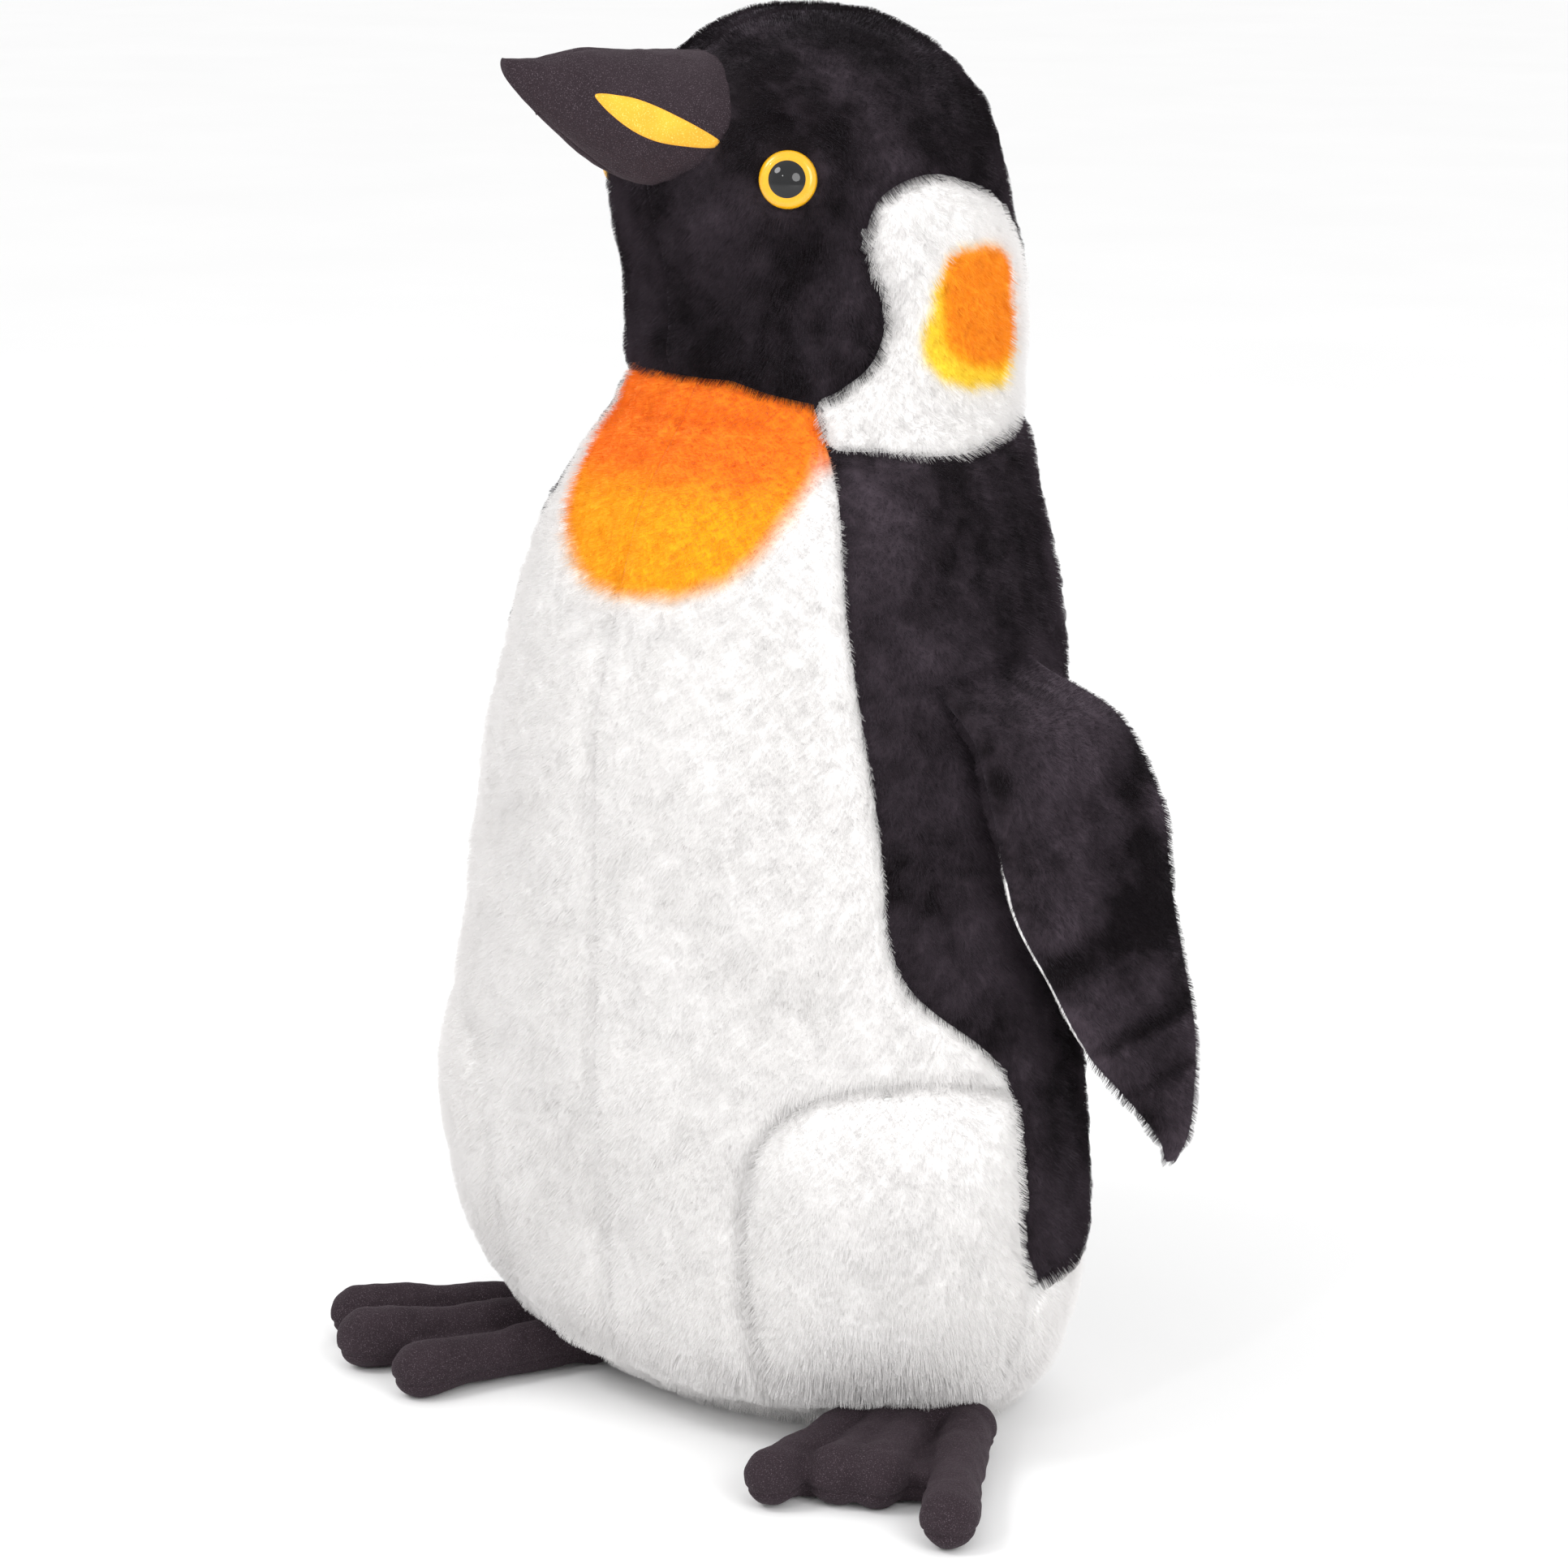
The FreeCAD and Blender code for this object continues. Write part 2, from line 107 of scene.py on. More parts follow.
# Where the head's fabric meets the body's: degrees round from the beak, height
NECK_SEAM = [
    (0, 0.455), (26, 0.455), (39, 0.4506), (53, 0.447), (58, 0.4335), (74, 0.4305), (84, 0.4284),
    (96, 0.4266), (110, 0.4286), (125, 0.4322), (150, 0.4375), (180, 0.440),
]

# Lower edge of the black back and the white front: degrees round from the front, height
HEM = [(0, 0.034), (84, 0.032), (92, 0.072), (100, 0.077), (180, 0.077)]

# Thigh pad: front and top seam (x, z), the heights of its rear, which runs along the flank
# seam, then its foot (degrees, z)
THIGH_FRONT = [
    (0.074, 0.040), (0.073, 0.070), (0.0735, 0.100), (0.076, 0.124), (0.081, 0.143),
    (0.091, 0.157), (0.107, 0.167), (0.126, 0.172), (0.146, 0.173),
]
THIGH_REAR = (0.166, 0.150, 0.125, 0.100, 0.080, 0.055)
THIGH_SETBACK = 0.015     # the rear stops this far before the flank seam, in radians
THIGH_FOOT = [(86, 0.028), (70, 0.022), (50, 0.026), (34, 0.030)]
# How far the pad stands out at each height
THIGH_PUFF = [
    (0.030, 0.0), (0.048, 0.0004), (0.071, 0.0040), (0.094, 0.0050), (0.117, 0.0078),
    (0.138, 0.0098), (0.160, 0.0085), (0.176, 0.0045),
]
FAR_SWELL = 0.0045        # the body's own swelling round the far thigh
SWELL_WIDTH = 0.026

# Cheek patch, seen from the side of the head: front, top and rear seam (y, z)
CHEEK = [
    (-0.050, 0.4465), (-0.042, 0.452), (-0.031, 0.460), (-0.0245, 0.470), (-0.022, 0.481),
    (-0.0245, 0.492), (-0.0305, 0.504), (-0.032, 0.517), (-0.027, 0.530), (-0.016, 0.538),
    (-0.001, 0.5415), (0.014, 0.540), (0.031, 0.5345), (0.046, 0.528), (0.060, 0.518),
    (0.070, 0.502), (0.0745, 0.478), (0.0745, 0.455), (0.071, 0.437),
]
CHEEK_FOOT = [132, 115, 100, 86, 72, 59.5]   # its lower seam runs along the neck: degrees

# Beak: upright sections (y, middle height, half height, half width), on the head's own axes
BEAK = [
    (-0.060, 0.560, 0.0285, 0.0455), (-0.087, 0.5615, 0.0285, 0.0395), (-0.107, 0.566, 0.025, 0.030),
    (-0.127, 0.571, 0.0185, 0.019), (-0.145, 0.580, 0.0095, 0.009), (-0.1565, 0.5862, 0.0035, 0.0035),
]
# Stripe on the side of the beak (y, z)
STRIPE = [
    (-0.127, 0.5745), (-0.117, 0.5745), (-0.107, 0.5715), (-0.093, 0.564), (-0.0765, 0.5540),
    (-0.0785, 0.551), (-0.092, 0.552), (-0.105, 0.555), (-0.117, 0.5625),
]

# Foot: toes as (x at the root, x at the tip, reach, root radius, tip radius), toes to -Y.
# The left foot's middle toe is short and broad, made of two bars side by side.
TOES = {
    "left": [
        (-0.0225, -0.052, 0.066, 0.0115, 0.0120),
        (-0.006, -0.025, 0.060, 0.0115, 0.0130),
        (0.002, -0.008, 0.062, 0.0115, 0.0130),
        (0.023, 0.025, 0.103, 0.0120, 0.0124),
    ],
    "right": [
        (-0.0225, -0.055, 0.081, 0.0115, 0.0122),
        (0.0, -0.014, 0.101, 0.0115, 0.0140),
        (0.023, 0.025, 0.103, 0.0115, 0.0122),
    ],
}
WEB_REACH = {"left": 0.062, "right": 0.084}  # how far the webs run out
WEB_SHARE = 0.95                             # but no further than this share of a toe
WEB_LOW, WEB_HIGH = 0.0015, 0.0150

# ---------------------------------------------------------------- joints and axes

joints = {joint["name"]: joint for joint in frame["joints"]}
neck = Vector(joints["head_turn"]["pos_m"])


def middle_of(node):
    """The mean of a CAD node's vertices."""
    vertices = frame["nodes"][node].data.vertices
    return sum((v.co for v in vertices), Vector()) / len(vertices)


eyes = {name: middle_of("eye_pupil_" + name) for name in SIDES}
across = eyes["left"] - eyes["right"]
HEAD_TURN = math.atan2(across.y, across.x)
neck_axis = Vector((neck.x, neck.y, 0))
head_to_world = Matrix.Translation(neck_axis) @ Matrix.Rotation(HEAD_TURN, 4, "Z")
world_to_head = head_to_world.inverted()


def outward(joint):
    """The level direction that a hinged limb points or faces, square to its hinge."""
    x, y, _ = joints[joint]["axis"]
    return Vector((-y, x, 0))


# ---------------------------------------------------------------- small tools

def moved(points, matrix):
    """The points after a 4 x 4 matrix."""
    m = np.array(matrix)
    return points @ m[:3, :3].T + m[:3, 3]


def smoothstep(low, high, values):
    t = np.clip((values - low) / (high - low), 0, 1)
    return t * t * (3 - 2 * t)


def waves(points, scale, seed, count=28):
    """A smooth random field of about -1 to 1, with lumps about scale across."""
    draw = np.random.default_rng(seed)
    directions = draw.normal(size=(count, 3))
    directions /= np.linalg.norm(directions, axis=1)[:, None]
    rates = 2 * math.pi / (scale * draw.uniform(0.8, 2.2, count))
    phases = draw.uniform(0, 2 * math.pi, count)
    turns = points @ (directions * rates[:, None]).T + phases
    return np.cos(turns).sum(1) / math.sqrt(count)


def lumps(points, *layers):
    """Random fields added up, each given as (depth, scale, seed)."""
    return sum(depth * waves(points, scale, seed) for depth, scale, seed in layers)


def smooth_curve(points, count, closed=True):
    """A Catmull-Rom curve through the points, evenly spaced."""
    p = np.array(points, float)
    if closed:
        p = np.concatenate([p[-1:], p, p[:2]])
    else:
        p = np.concatenate([2 * p[:1] - p[1:2], p, 2 * p[-1:] - p[-2:-1]])
    fine = []
    steps = np.linspace(0, 1, 24, endpoint=False)[:, None]
    for a, b, c, d in zip(p, p[1:], p[2:], p[3:]):
        fine.append(0.5 * (2 * b + (c - a) * steps + (2 * a - 5 * b + 4 * c - d) * steps ** 2
                           + (3 * b - a - 3 * c + d) * steps ** 3))
    fine = np.concatenate(fine + [p[1:2] if closed else p[-2:-1]])
    length = np.concatenate([[0], np.cumsum(np.linalg.norm(np.diff(fine, axis=0), axis=1))])
    at = np.linspace(0, length[-1], count, endpoint=not closed)
    return np.stack([np.interp(at, length, fine[:, k]) for k in range(p.shape[1])], -1)


def inside(points, loop):
    """True for each 2-D point inside a closed 2-D loop."""
    result = np.zeros(len(points), bool)
    x, y = points[:, 0], points[:, 1]
    for (x0, y0), (x1, y1) in zip(loop, np.roll(loop, -1, axis=0)):
        if y0 == y1:
            continue
        crosses = (y0 > y) != (y1 > y)
        result ^= crosses & (x < x0 + (y - y0) * (x1 - x0) / (y1 - y0))
    return result


def read_off(table, at, column=1):
    """A table's value at a place given by its first column, between its rows."""
    rows = np.array(table)
    return np.interp(at, rows[:, 0], rows[:, column])


def seam_tree(curves):
    """A search tree of points along the seams."""
    points = np.concatenate(curves)
    tree = KDTree(len(points))
    for i, point in enumerate(points):
        tree.insert(point, i)
    tree.balance()
    return tree


def distance(points, tree):
    return np.array([tree.find(point)[2] for point in points])


def quads(rows, columns, wrap):
    """Faces of a grid whose vertices are numbered row by row."""
    index = np.arange(rows * columns).reshape(rows, columns)
    if wrap:
        index = np.concatenate([index, index[:, :1]], axis=1)
    corners = [index[:-1, :-1], index[:-1, 1:], index[1:, 1:], index[1:, :-1]]
    return np.stack(corners, -1).reshape(-1, 4).tolist()


def add_object(name, data):
    """A new object in the scene."""
    piece = bpy.data.objects.new(name, data)
    bpy.context.scene.collection.objects.link(piece)
    return piece


def shade_smooth(mesh, smooth=True):
    mesh.polygons.foreach_set("use_smooth", [smooth] * len(mesh.polygons))


def make_object(name, points, faces, material, smooth=True):
    mesh = bpy.data.meshes.new(name)
    mesh.from_pydata(np.asarray(points).tolist(), [], faces)
    mesh.update()
    shade_smooth(mesh, smooth)
    mesh.materials.append(material)
    return add_object(name, mesh)


def face_towards(piece, way):
    """Turns the skin over if its middle face doesn't look that way."""
    middle_face = piece.data.polygons[len(piece.data.polygons) // 2]
    if middle_face.normal.dot(Vector(way)) < 0:
        piece.data.flip_normals()


def face_outward(piece, normals):
    """Turns the skin over if its middle face looks against the form's normals."""
    middle_face = piece.data.polygons[len(piece.data.polygons) // 2]
    face_towards(piece, normals[middle_face.vertices[0]])


def thicken(piece, thickness):
    shell = piece.modifiers.new("thickness", "SOLIDIFY")
    shell.thickness = thickness
    shell.offset = -1
    shell.use_even_offset = False


def mesh_points(piece):
    co = np.zeros(len(piece.data.vertices) * 3)
    piece.data.vertices.foreach_get("co", co)
    return co.reshape(-1, 3)


def mesh_normals(piece):
    normals = np.zeros(len(piece.data.vertices) * 3)
    piece.data.vertices.foreach_get("normal", normals)
    return normals.reshape(-1, 3)


def set_points(piece, points):
    piece.data.vertices.foreach_set("co", points.ravel())
    piece.data.update()


def baked(piece):
    """Applies every modifier."""
    graph = bpy.context.evaluated_depsgraph_get()
    mesh = bpy.data.meshes.new_from_object(piece.evaluated_get(graph), depsgraph=graph)
    old = piece.data
    piece.modifiers.clear()
    piece.data = mesh
    bpy.data.meshes.remove(old)


def voxel_skin(piece, size, rounds):
    """Makes the piece one closed skin and softens it."""
    remesh = piece.modifiers.new("skin", "REMESH")
    remesh.mode = "VOXEL"
    remesh.voxel_size = size
    soften = piece.modifiers.new("soften", "SMOOTH")
    soften.iterations = rounds
    baked(piece)


def ray_tree(pieces, to_local=Matrix()):
    """A ray-casting tree of some pieces, on local axes."""
    vertices, faces = [], []
    for piece in pieces:
        base = len(vertices)
        vertices += [to_local @ v.co for v in piece.data.vertices]
        faces += [[base + i for i in polygon.vertices] for polygon in piece.data.polygons]
    return BVHTree.FromPolygons(vertices, faces)


def normal_of(shape, turn, z):
    """The outward normal of a form that is given as a function of turn and height."""
    step_turn, step_z = 0.01, 0.002
    round_it = shape(turn + step_turn, z) - shape(turn - step_turn, z)
    up_it = shape(turn, z + step_z) - shape(turn, z - step_z)
    n = np.cross(round_it, up_it)
    return n / np.linalg.norm(n, axis=-1)[..., None]


# ---------------------------------------------------------------- measured forms


REACH = 0.4               # a ray starts this far out
OFF_SEAM = 0.0006         # and this far beside the middle seam


class Form:
    """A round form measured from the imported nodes: a level oval at every height."""

    def __init__(self, names, to_local, heights):
        tree = ray_tree([frame["nodes"][name] for name in names], to_local)
        rows = []
        for z in heights:
            front = tree.ray_cast(Vector((OFF_SEAM, -REACH, z)), Vector((0, 1, 0)))[0].y
            back = tree.ray_cast(Vector((OFF_SEAM, REACH, z)), Vector((0, -1, 0)))[0].y
            middle, half = (front + back) / 2, (back - front) / 2
            start = Vector((REACH, middle + REACH, z))
            side = tree.ray_cast(start, Vector((-1, -1, 0)))[0]
            share = min(0.99, abs(side.y - middle) / half)
            rows.append((side.x / math.sqrt(1 - share ** 2), middle, half))
        self.heights = np.array(heights)
        self.half_width, self.middle, self.half_depth = np.array(rows).T

    def oval(self, z):
        tables = (self.half_width, self.middle, self.half_depth)
        return [np.interp(z, self.heights, table) for table in tables]

    def at(self, turn, z):
        """Points on the form."""
        width, middle, depth = self.oval(z)
        return np.stack([width * np.sin(turn), middle - depth * np.cos(turn), z + 0 * turn], -1)

    def turn_of_x(self, x, z):
        """The turn of a place seen from the front."""
        width, _, _ = self.oval(np.asarray(z))
        return np.arcsin(np.clip(np.asarray(x) / width, -1, 1))

    def turn_of_y(self, y, z):
        """The turn of a place seen from the left side."""
        _, middle, depth = self.oval(np.asarray(z))
        return np.arccos(np.clip((middle - np.asarray(y)) / depth, -1, 1))


BODY_TOP = 0.4385         # the body's form is measured up to here,
HEAD_FOOT = 0.4424        # and the head's down to here

both = ["left", "right"]
torso_skin = ["bottom_panel"] + [p + s for p in ("belly_panel_", "back_panel_") for s in both]
body = Form(torso_skin, Matrix(), np.linspace(0.001, BODY_TOP, 110))
head_skin = ["head_panel_" + s for s in both] + ["cheek_patch_" + s for s in both]
crown_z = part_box("head_panel_left")[1].z
head_heights = crown_z - 0.0004 - (crown_z - HEAD_FOOT) * np.linspace(1, 0, 90) ** 1.6
head = Form(head_skin, world_to_head, head_heights)


def flank_turn():
    """The turn of the seam between the front and the back panel, at each height."""
    tree = ray_tree([frame["nodes"]["back_panel_left"]])
    low_z, high_z = 0.0800, 0.436
    heights = np.linspace(low_z, high_z, 70)
    turns = []
    reach = 0.02
    for z in heights:
        low, high = math.radians(20), math.radians(150)
        for _ in range(12):
            turn = (low + high) / 2
            spot = body.at(np.array([turn]), np.array([z]))[0]
            out = Vector(normal_of(body.at, np.array([turn]), np.array([z]))[0])
            hit = tree.ray_cast(Vector(spot) + out * reach, -out)[3]
            on_back = hit is not None and hit < reach + 0.001
            low, high = (low, turn) if on_back else (turn, high)
        turns.append(high)
    return heights, np.array(turns)


flank_heights, flank_turns = flank_turn()


def neck_height(turn_in_head):
    degrees = np.abs(np.degrees(turn_in_head))
    degrees = np.where(degrees > 180, 360 - degrees, degrees)
    return read_off(NECK_SEAM, degrees)


def hem_height(turn):
    return read_off(HEM, np.abs(np.degrees(turn)))


def surface(turn, z):
    """The toy's trunk from the floor to the crown, with one shape through the neck."""
    low = body.at(turn, np.minimum(z, body.heights[-1]))
    local_turn = turn - HEAD_TURN
    top_z = np.maximum(z, head.heights[0])
    high = moved(head.at(local_turn, top_z), head_to_world)
    share = smoothstep(body.heights[-1] - 0.004, head.heights[0] + 0.004, z)[..., None]
    points = low * (1 - share) + high * share
    points[..., 2] = z
    return points


# ---------------------------------------------------------------- seams on the trunk

def cheek_loop(side, count=260):
    """The cheek patch's outline as (turn, z) on the trunk."""
    points = [(head.turn_of_y(y, z) * side + HEAD_TURN, z) for y, z in CHEEK]
    for degrees in CHEEK_FOOT:
        turn = math.radians(degrees)
        points.append((turn * side + HEAD_TURN, float(neck_height(np.array(turn)))))
    return smooth_curve(points, count)


def thigh_loop(side, count=260):
    """The thigh pad's outline as (turn, z) on the trunk."""
    points = [(float(body.turn_of_x(x, z)), z) for x, z in THIGH_FRONT]
    for z in THIGH_REAR:
        points.append((float(np.interp(z, flank_heights, flank_turns)) - THIGH_SETBACK, z))
    points += [(math.radians(degrees), z) for degrees, z in THIGH_FOOT]
    loop = smooth_curve(points, count)
    loop[:, 0] *= side
    return loop


cheeks = {name: cheek_loop(side) for name, side in SIDES.items()}
thighs = {name: thigh_loop(side) for name, side in SIDES.items()}
patches = list(cheeks.values()) + list(thighs.values())


def on_trunk(loop):
    return surface(loop[:, 0], loop[:, 1])


def trunk_seams():
    curves = [on_trunk(loop) for loop in (cheeks["left"], cheeks["right"], thighs["left"])]
    round_neck = np.linspace(-math.pi, math.pi, 700)
    neck_z = neck_height(round_neck)
    curves.append(surface(round_neck + HEAD_TURN, neck_z))
    up = np.linspace(0.080, 0.432, 260)
    flank = np.interp(up, flank_heights, flank_turns)
    curves += [surface(flank * side, up) for side in SIDES.values()]
    behind = np.linspace(math.radians(92), math.radians(268), 300)
    curves.append(surface(behind, hem_height(np.abs(behind - 2 * math.pi * (behind > math.pi)))))
    return seam_tree(curves)


def faint_seams():
    """The middle seams, and the far thigh's, which lie nearly flat."""
    up = np.linspace(0.02, 0.45, 260)
    higher = np.linspace(0.44, crown_z - 0.002, 140)
    curves = [surface(np.full(len(up), turn), up) for turn in (0.0, math.pi)]
    curves += [surface(np.full(len(higher), turn + HEAD_TURN), higher) for turn in (0.0, math.pi)]
    curves.append(on_trunk(thighs["right"]))
    return seam_tree(curves)


seams = trunk_seams()
faint = faint_seams()
patch_edges = seam_tree([on_trunk(loop) for loop in patches])
far_thigh = seam_tree([on_trunk(thighs["right"])])

# ---------------------------------------------------------------- materials

# BLACK_SHEEN and WHITE are the lit ends, BLACK and WHITE_SHADE the shaded ends, of the pile's painted
# sheen and shade
BLACK = (0.0060, 0.0038, 0.0050)
BLACK_SHEEN = (0.062, 0.047, 0.059)
WHITE = (0.875, 0.862, 0.857)
WHITE_SHADE = (0.85, 0.836, 0.829)
ORANGE = (0.98, 0.255, 0.016)
AMBER = (1.0, 0.48, 0.012)
YELLOW = (1.0, 0.75, 0.050)
CHARCOAL = (0.030, 0.0205, 0.0255)
CHARCOAL_FLECK = (0.098, 0.076, 0.089)


class Look:
    """A material under construction, with short calls for its nodes."""

    def __init__(self, name, **values):
        self.material = bpy.data.materials.new(name)
        self.material.use_nodes = True
        self.tree = self.material.node_tree
        self.shader = self.tree.nodes["Principled BSDF"]
        for key, value in values.items():
            self.shader.inputs[key.replace("_", " ")].default_value = value

    def node(self, kind, **values):
        node = self.tree.nodes.new("ShaderNode" + kind)
        for key, value in values.items():
            if hasattr(node, key):
                setattr(node, key, value)
            else:
                node.inputs[key.replace("_", " ")].default_value = value
        return node

    def join(self, output, target):
        self.tree.links.new(output, target)

    def noise(self, scale, detail=3.0, roughness=0.55):
        """Noise on the object's own axes; scale is in lumps to the metre."""
        place = self.node("TexCoord")
        noise = self.node("TexNoise", Scale=scale, Detail=detail, Roughness=roughness)
        self.join(place.outputs["Object"], noise.inputs["Vector"])
        return noise.outputs["Fac"]

    def ramp(self, value, stops):
        ramp = self.node("ValToRGB")
        elements = ramp.color_ramp.elements
        while len(elements) < len(stops):
            elements.new(0.5)
        for element, (at, colour) in zip(elements, stops):
            element.position = at
            element.color = (*colour, 1)
        self.join(value, ramp.inputs["Fac"])
        return ramp.outputs["Color"]

    def mix(self, share, first, second, blend="MIX"):
        mix = self.node("Mix", data_type="RGBA", blend_type=blend)
        for value, socket in ((share, 0), (first, 6), (second, 7)):
            if isinstance(value, bpy.types.NodeSocket):
                self.join(value, mix.inputs[socket])
            elif socket:
                mix.inputs[socket].default_value = (*value, 1)
            else:
                mix.inputs[socket].default_value = value
        return mix.outputs[2]

    def roughen(self, scale, low, high):
        """Roughness that wanders between two values."""
        rough = self.ramp(self.noise(scale), [(0.3, grey(low)), (0.7, grey(high))])
        self.join(rough, self.shader.inputs["Roughness"])

    def bump(self, height, distance, strength=1.0, below=None):
        bump = self.node("Bump", Distance=distance, Strength=strength)
        self.join(height, bump.inputs["Height"])
        if below is not None:
            self.join(below, bump.inputs["Normal"])
        return bump.outputs["Normal"]


def grey(value):
    return (value, value, value)


def plush(name, dark, light, sheen, sheen_tint):
    """Knitted pile, whose colour runs between a dark and a light tone with its painted sheen and shade
    and a random mottle, and is airbrushed where told.
    """
    look = Look(name, Roughness=0.92, Sheen_Weight=sheen, Sheen_Roughness=0.45,
                Specular_IOR_Level=0.12)
    look.shader.inputs["Sheen Tint"].default_value = (*sheen_tint, 1)
    paint = look.node("VertexColor", layer_name="paint")
    split = look.node("SeparateColor")
    look.join(paint.outputs["Color"], split.inputs["Color"])
    # The blue mask is the painted sheen and shade, mixed here with random mottle
    sheen_and_mottle = look.mix(0.45, split.outputs["Blue"], look.noise(95.0, 4.0))
    pile = look.ramp(sheen_and_mottle, [(0.38, dark), (0.72, light)])
    warm = look.ramp(split.outputs["Green"], [(0.0, YELLOW), (0.5, AMBER), (1.0, ORANGE)])
    warm = look.mix(0.35, warm, look.ramp(look.noise(260.0), [(0.3, (0.55, 0.5, 0.5)), (0.7, grey(1))]),
                    "MULTIPLY")
    colour = look.mix(split.outputs["Red"], pile, warm)
    look.join(colour, look.shader.inputs["Base Color"])
    tufts = look.bump(look.noise(520.0, 2.0), 0.0010, 0.4)
    lumps = look.bump(look.noise(1500.0, 2.0), 0.0006, 0.5, tufts)
    look.join(lumps, look.shader.inputs["Normal"])
    look.roughen(300.0, 0.82, 1.0)
    return look.material


def brushed(name, base, fleck, nap=900.0, depth=0.0004):
    """Short-napped cloth: suede or felt, with light flecks."""
    look = Look(name, Roughness=0.9, Sheen_Weight=0.35, Sheen_Roughness=0.5,
                Specular_IOR_Level=0.15)
    look.shader.inputs["Sheen Tint"].default_value = (*fleck, 1)
    cloud = look.ramp(look.noise(60.0, 3.0), [(0.3, tuple(0.8 * c for c in base)), (0.7, base)])
    flecks = look.ramp(look.noise(nap * 2.4, 1.0), [(0.58, grey(0)), (0.72, grey(1))])
    look.join(look.mix(flecks, cloud, fleck), look.shader.inputs["Base Color"])
    fine = look.bump(look.noise(nap, 3.0), depth)
    creases = look.bump(look.noise(140.0, 2.0), 0.0012, 0.5, fine)
    look.join(creases, look.shader.inputs["Normal"])
    look.roughen(nap, 0.8, 1.0)
    return look.material


def plastic(name, base, roughness, coat, specular=0.5):
    """Moulded plastic with a slightly uneven skin."""
    look = Look(name, Coat_Weight=coat, Coat_Roughness=0.04, Specular_IOR_Level=specular)
    shade = look.ramp(look.noise(240.0), [(0.3, tuple(0.88 * c for c in base)), (0.7, base)])
    look.join(shade, look.shader.inputs["Base Color"])
    look.roughen(700.0, roughness, roughness * 1.5)
    look.join(look.bump(look.noise(160.0), 0.0002, 0.25), look.shader.inputs["Normal"])
    return look.material


white_plush = plush("white_plush", WHITE_SHADE, WHITE, 0.15, (1, 1, 1))
black_plush = plush("black_plush", BLACK, BLACK_SHEEN, 0.16, (0.62, 0.56, 0.66))
suede = brushed("charcoal_suede", CHARCOAL, CHARCOAL_FLECK)
felt = brushed("amber_felt", (0.93, 0.46, 0.045), (0.98, 0.62, 0.14), 700.0, 0.0003)
filling = brushed("fibre_filling", (0.86, 0.86, 0.85), (0.95, 0.95, 0.94), 260.0, 0.0015)
pellet_cotton = brushed("pellet_cotton", (0.72, 0.68, 0.60), (0.80, 0.77, 0.70), 1100.0)
eye_yellow = plastic("eye_yellow", (0.82, 0.41, 0.003), 0.20, 0.5)
eye_black = plastic("eye_black", (0.004, 0.004, 0.005), 0.05, 0.15, 0.40)
washer_plastic = plastic("washer_plastic", (0.75, 0.75, 0.73), 0.35, 0.0)


# ---------------------------------------------------------------- pile

PILE_SETTINGS = {
    "hair_step": 3, "render_step": 3, "display_step": 2,
    "child_type": "INTERPOLATED", "rendered_child_count": FOLLOWERS, "child_percent": 1,
    "child_length": 1.0, "roughness_1": 0.0005, "roughness_1_size": 0.006, "roughness_2": 0.0009,
    "roughness_endpoint": 0.0004, "clump_factor": 0.12, "clump_shape": 0.3,
}


def set_weights(piece, name, weights):
    group = piece.vertex_groups.new(name=name)
    levels = np.round(np.clip(weights, 0, 1) * 20).astype(int)
    for level in range(1, 21):
        chosen = np.flatnonzero(levels == level).tolist()
        if chosen:
            group.add(chosen, level / 20, "REPLACE")


def paint(piece, red, green, blue):
    """Writes the airbrush masks in red and green and the painted sheen and shade in blue, one value to a
    vertex.
    """
    layer = piece.data.color_attributes.new("paint", "BYTE_COLOR", "CORNER")
    loops = np.zeros(len(piece.data.loops), np.int32)
    piece.data.loops.foreach_get("vertex_index", loops)
    masks = np.stack([red, green, blue, np.ones(len(red))], -1)
    layer.data.foreach_set("color", np.clip(masks, 0, 1)[loops].astype(np.float32).ravel())


def grow_pile(piece, covered, length, seed):
    """Hangs the pile on the fabric; covered and length are 0 to 1 at each vertex."""
    set_weights(piece, "covered", covered)
    set_weights(piece, "length", length)
    area = sum(polygon.area for polygon in piece.data.polygons) * float(np.mean(covered))
    modifier = piece.modifiers.new("pile", "PARTICLE_SYSTEM")
    system = modifier.particle_system
    system.seed = seed
    system.vertex_group_density = "covered"
    system.vertex_group_length = "length"
    pile = system.settings
    pile.type = "HAIR"
    share = 1.0
    pile.count = max(10, int(area * PILE_DENSITY * share / FOLLOWERS))
    pile.hair_length = PILE
    pile.object_align_factor = (0, 0, PILE_LEAN * pile.normal_factor)
    pile.factor_random = 0.16 * pile.normal_factor
    for setting, value in PILE_SETTINGS.items():
        setattr(pile, setting, value)
    pile.root_radius = FIBRE * 1000
    pile.tip_radius = FIBRE * 350
    pile.radius_scale = 0.001 * 1.0


# ---------------------------------------------------------------- trunk fabric

FOOT_SIDE = (-0.052, 0.042)    # the hollow over each foot: its two sides,
FOOT_BACK = 0.026              # how far it reaches behind the ankle,
FOOT_ROOF = 0.0285             # its height over the ankle
ROOF_SLOPE = 0.118             # and its rise towards the toes
WALL = 0.012


def clear_feet(points):
    """Lifts the fabric that would lie on the feet."""
    points = points.copy()
    for name, side in SIDES.items():
        ankle = np.array(joints["foot_%s_flex" % name]["pos_m"])
        ahead = np.array(outward("foot_%s_flex" % name))
        beside = np.array([-ahead[1], ahead[0], 0]) * side
        forward = (points - ankle) @ ahead
        sideways = (points - ankle) @ beside
        margin = np.minimum(sideways - FOOT_SIDE[0], FOOT_SIDE[1] - sideways)
        margin = np.minimum(margin, forward + FOOT_BACK)
        roof = FOOT_ROOF + ROOF_SLOPE * np.maximum(forward, 0)
        lift = roof * smoothstep(0, WALL, margin)
        points[:, 2] = np.maximum(points[:, 2], lift)
    return points


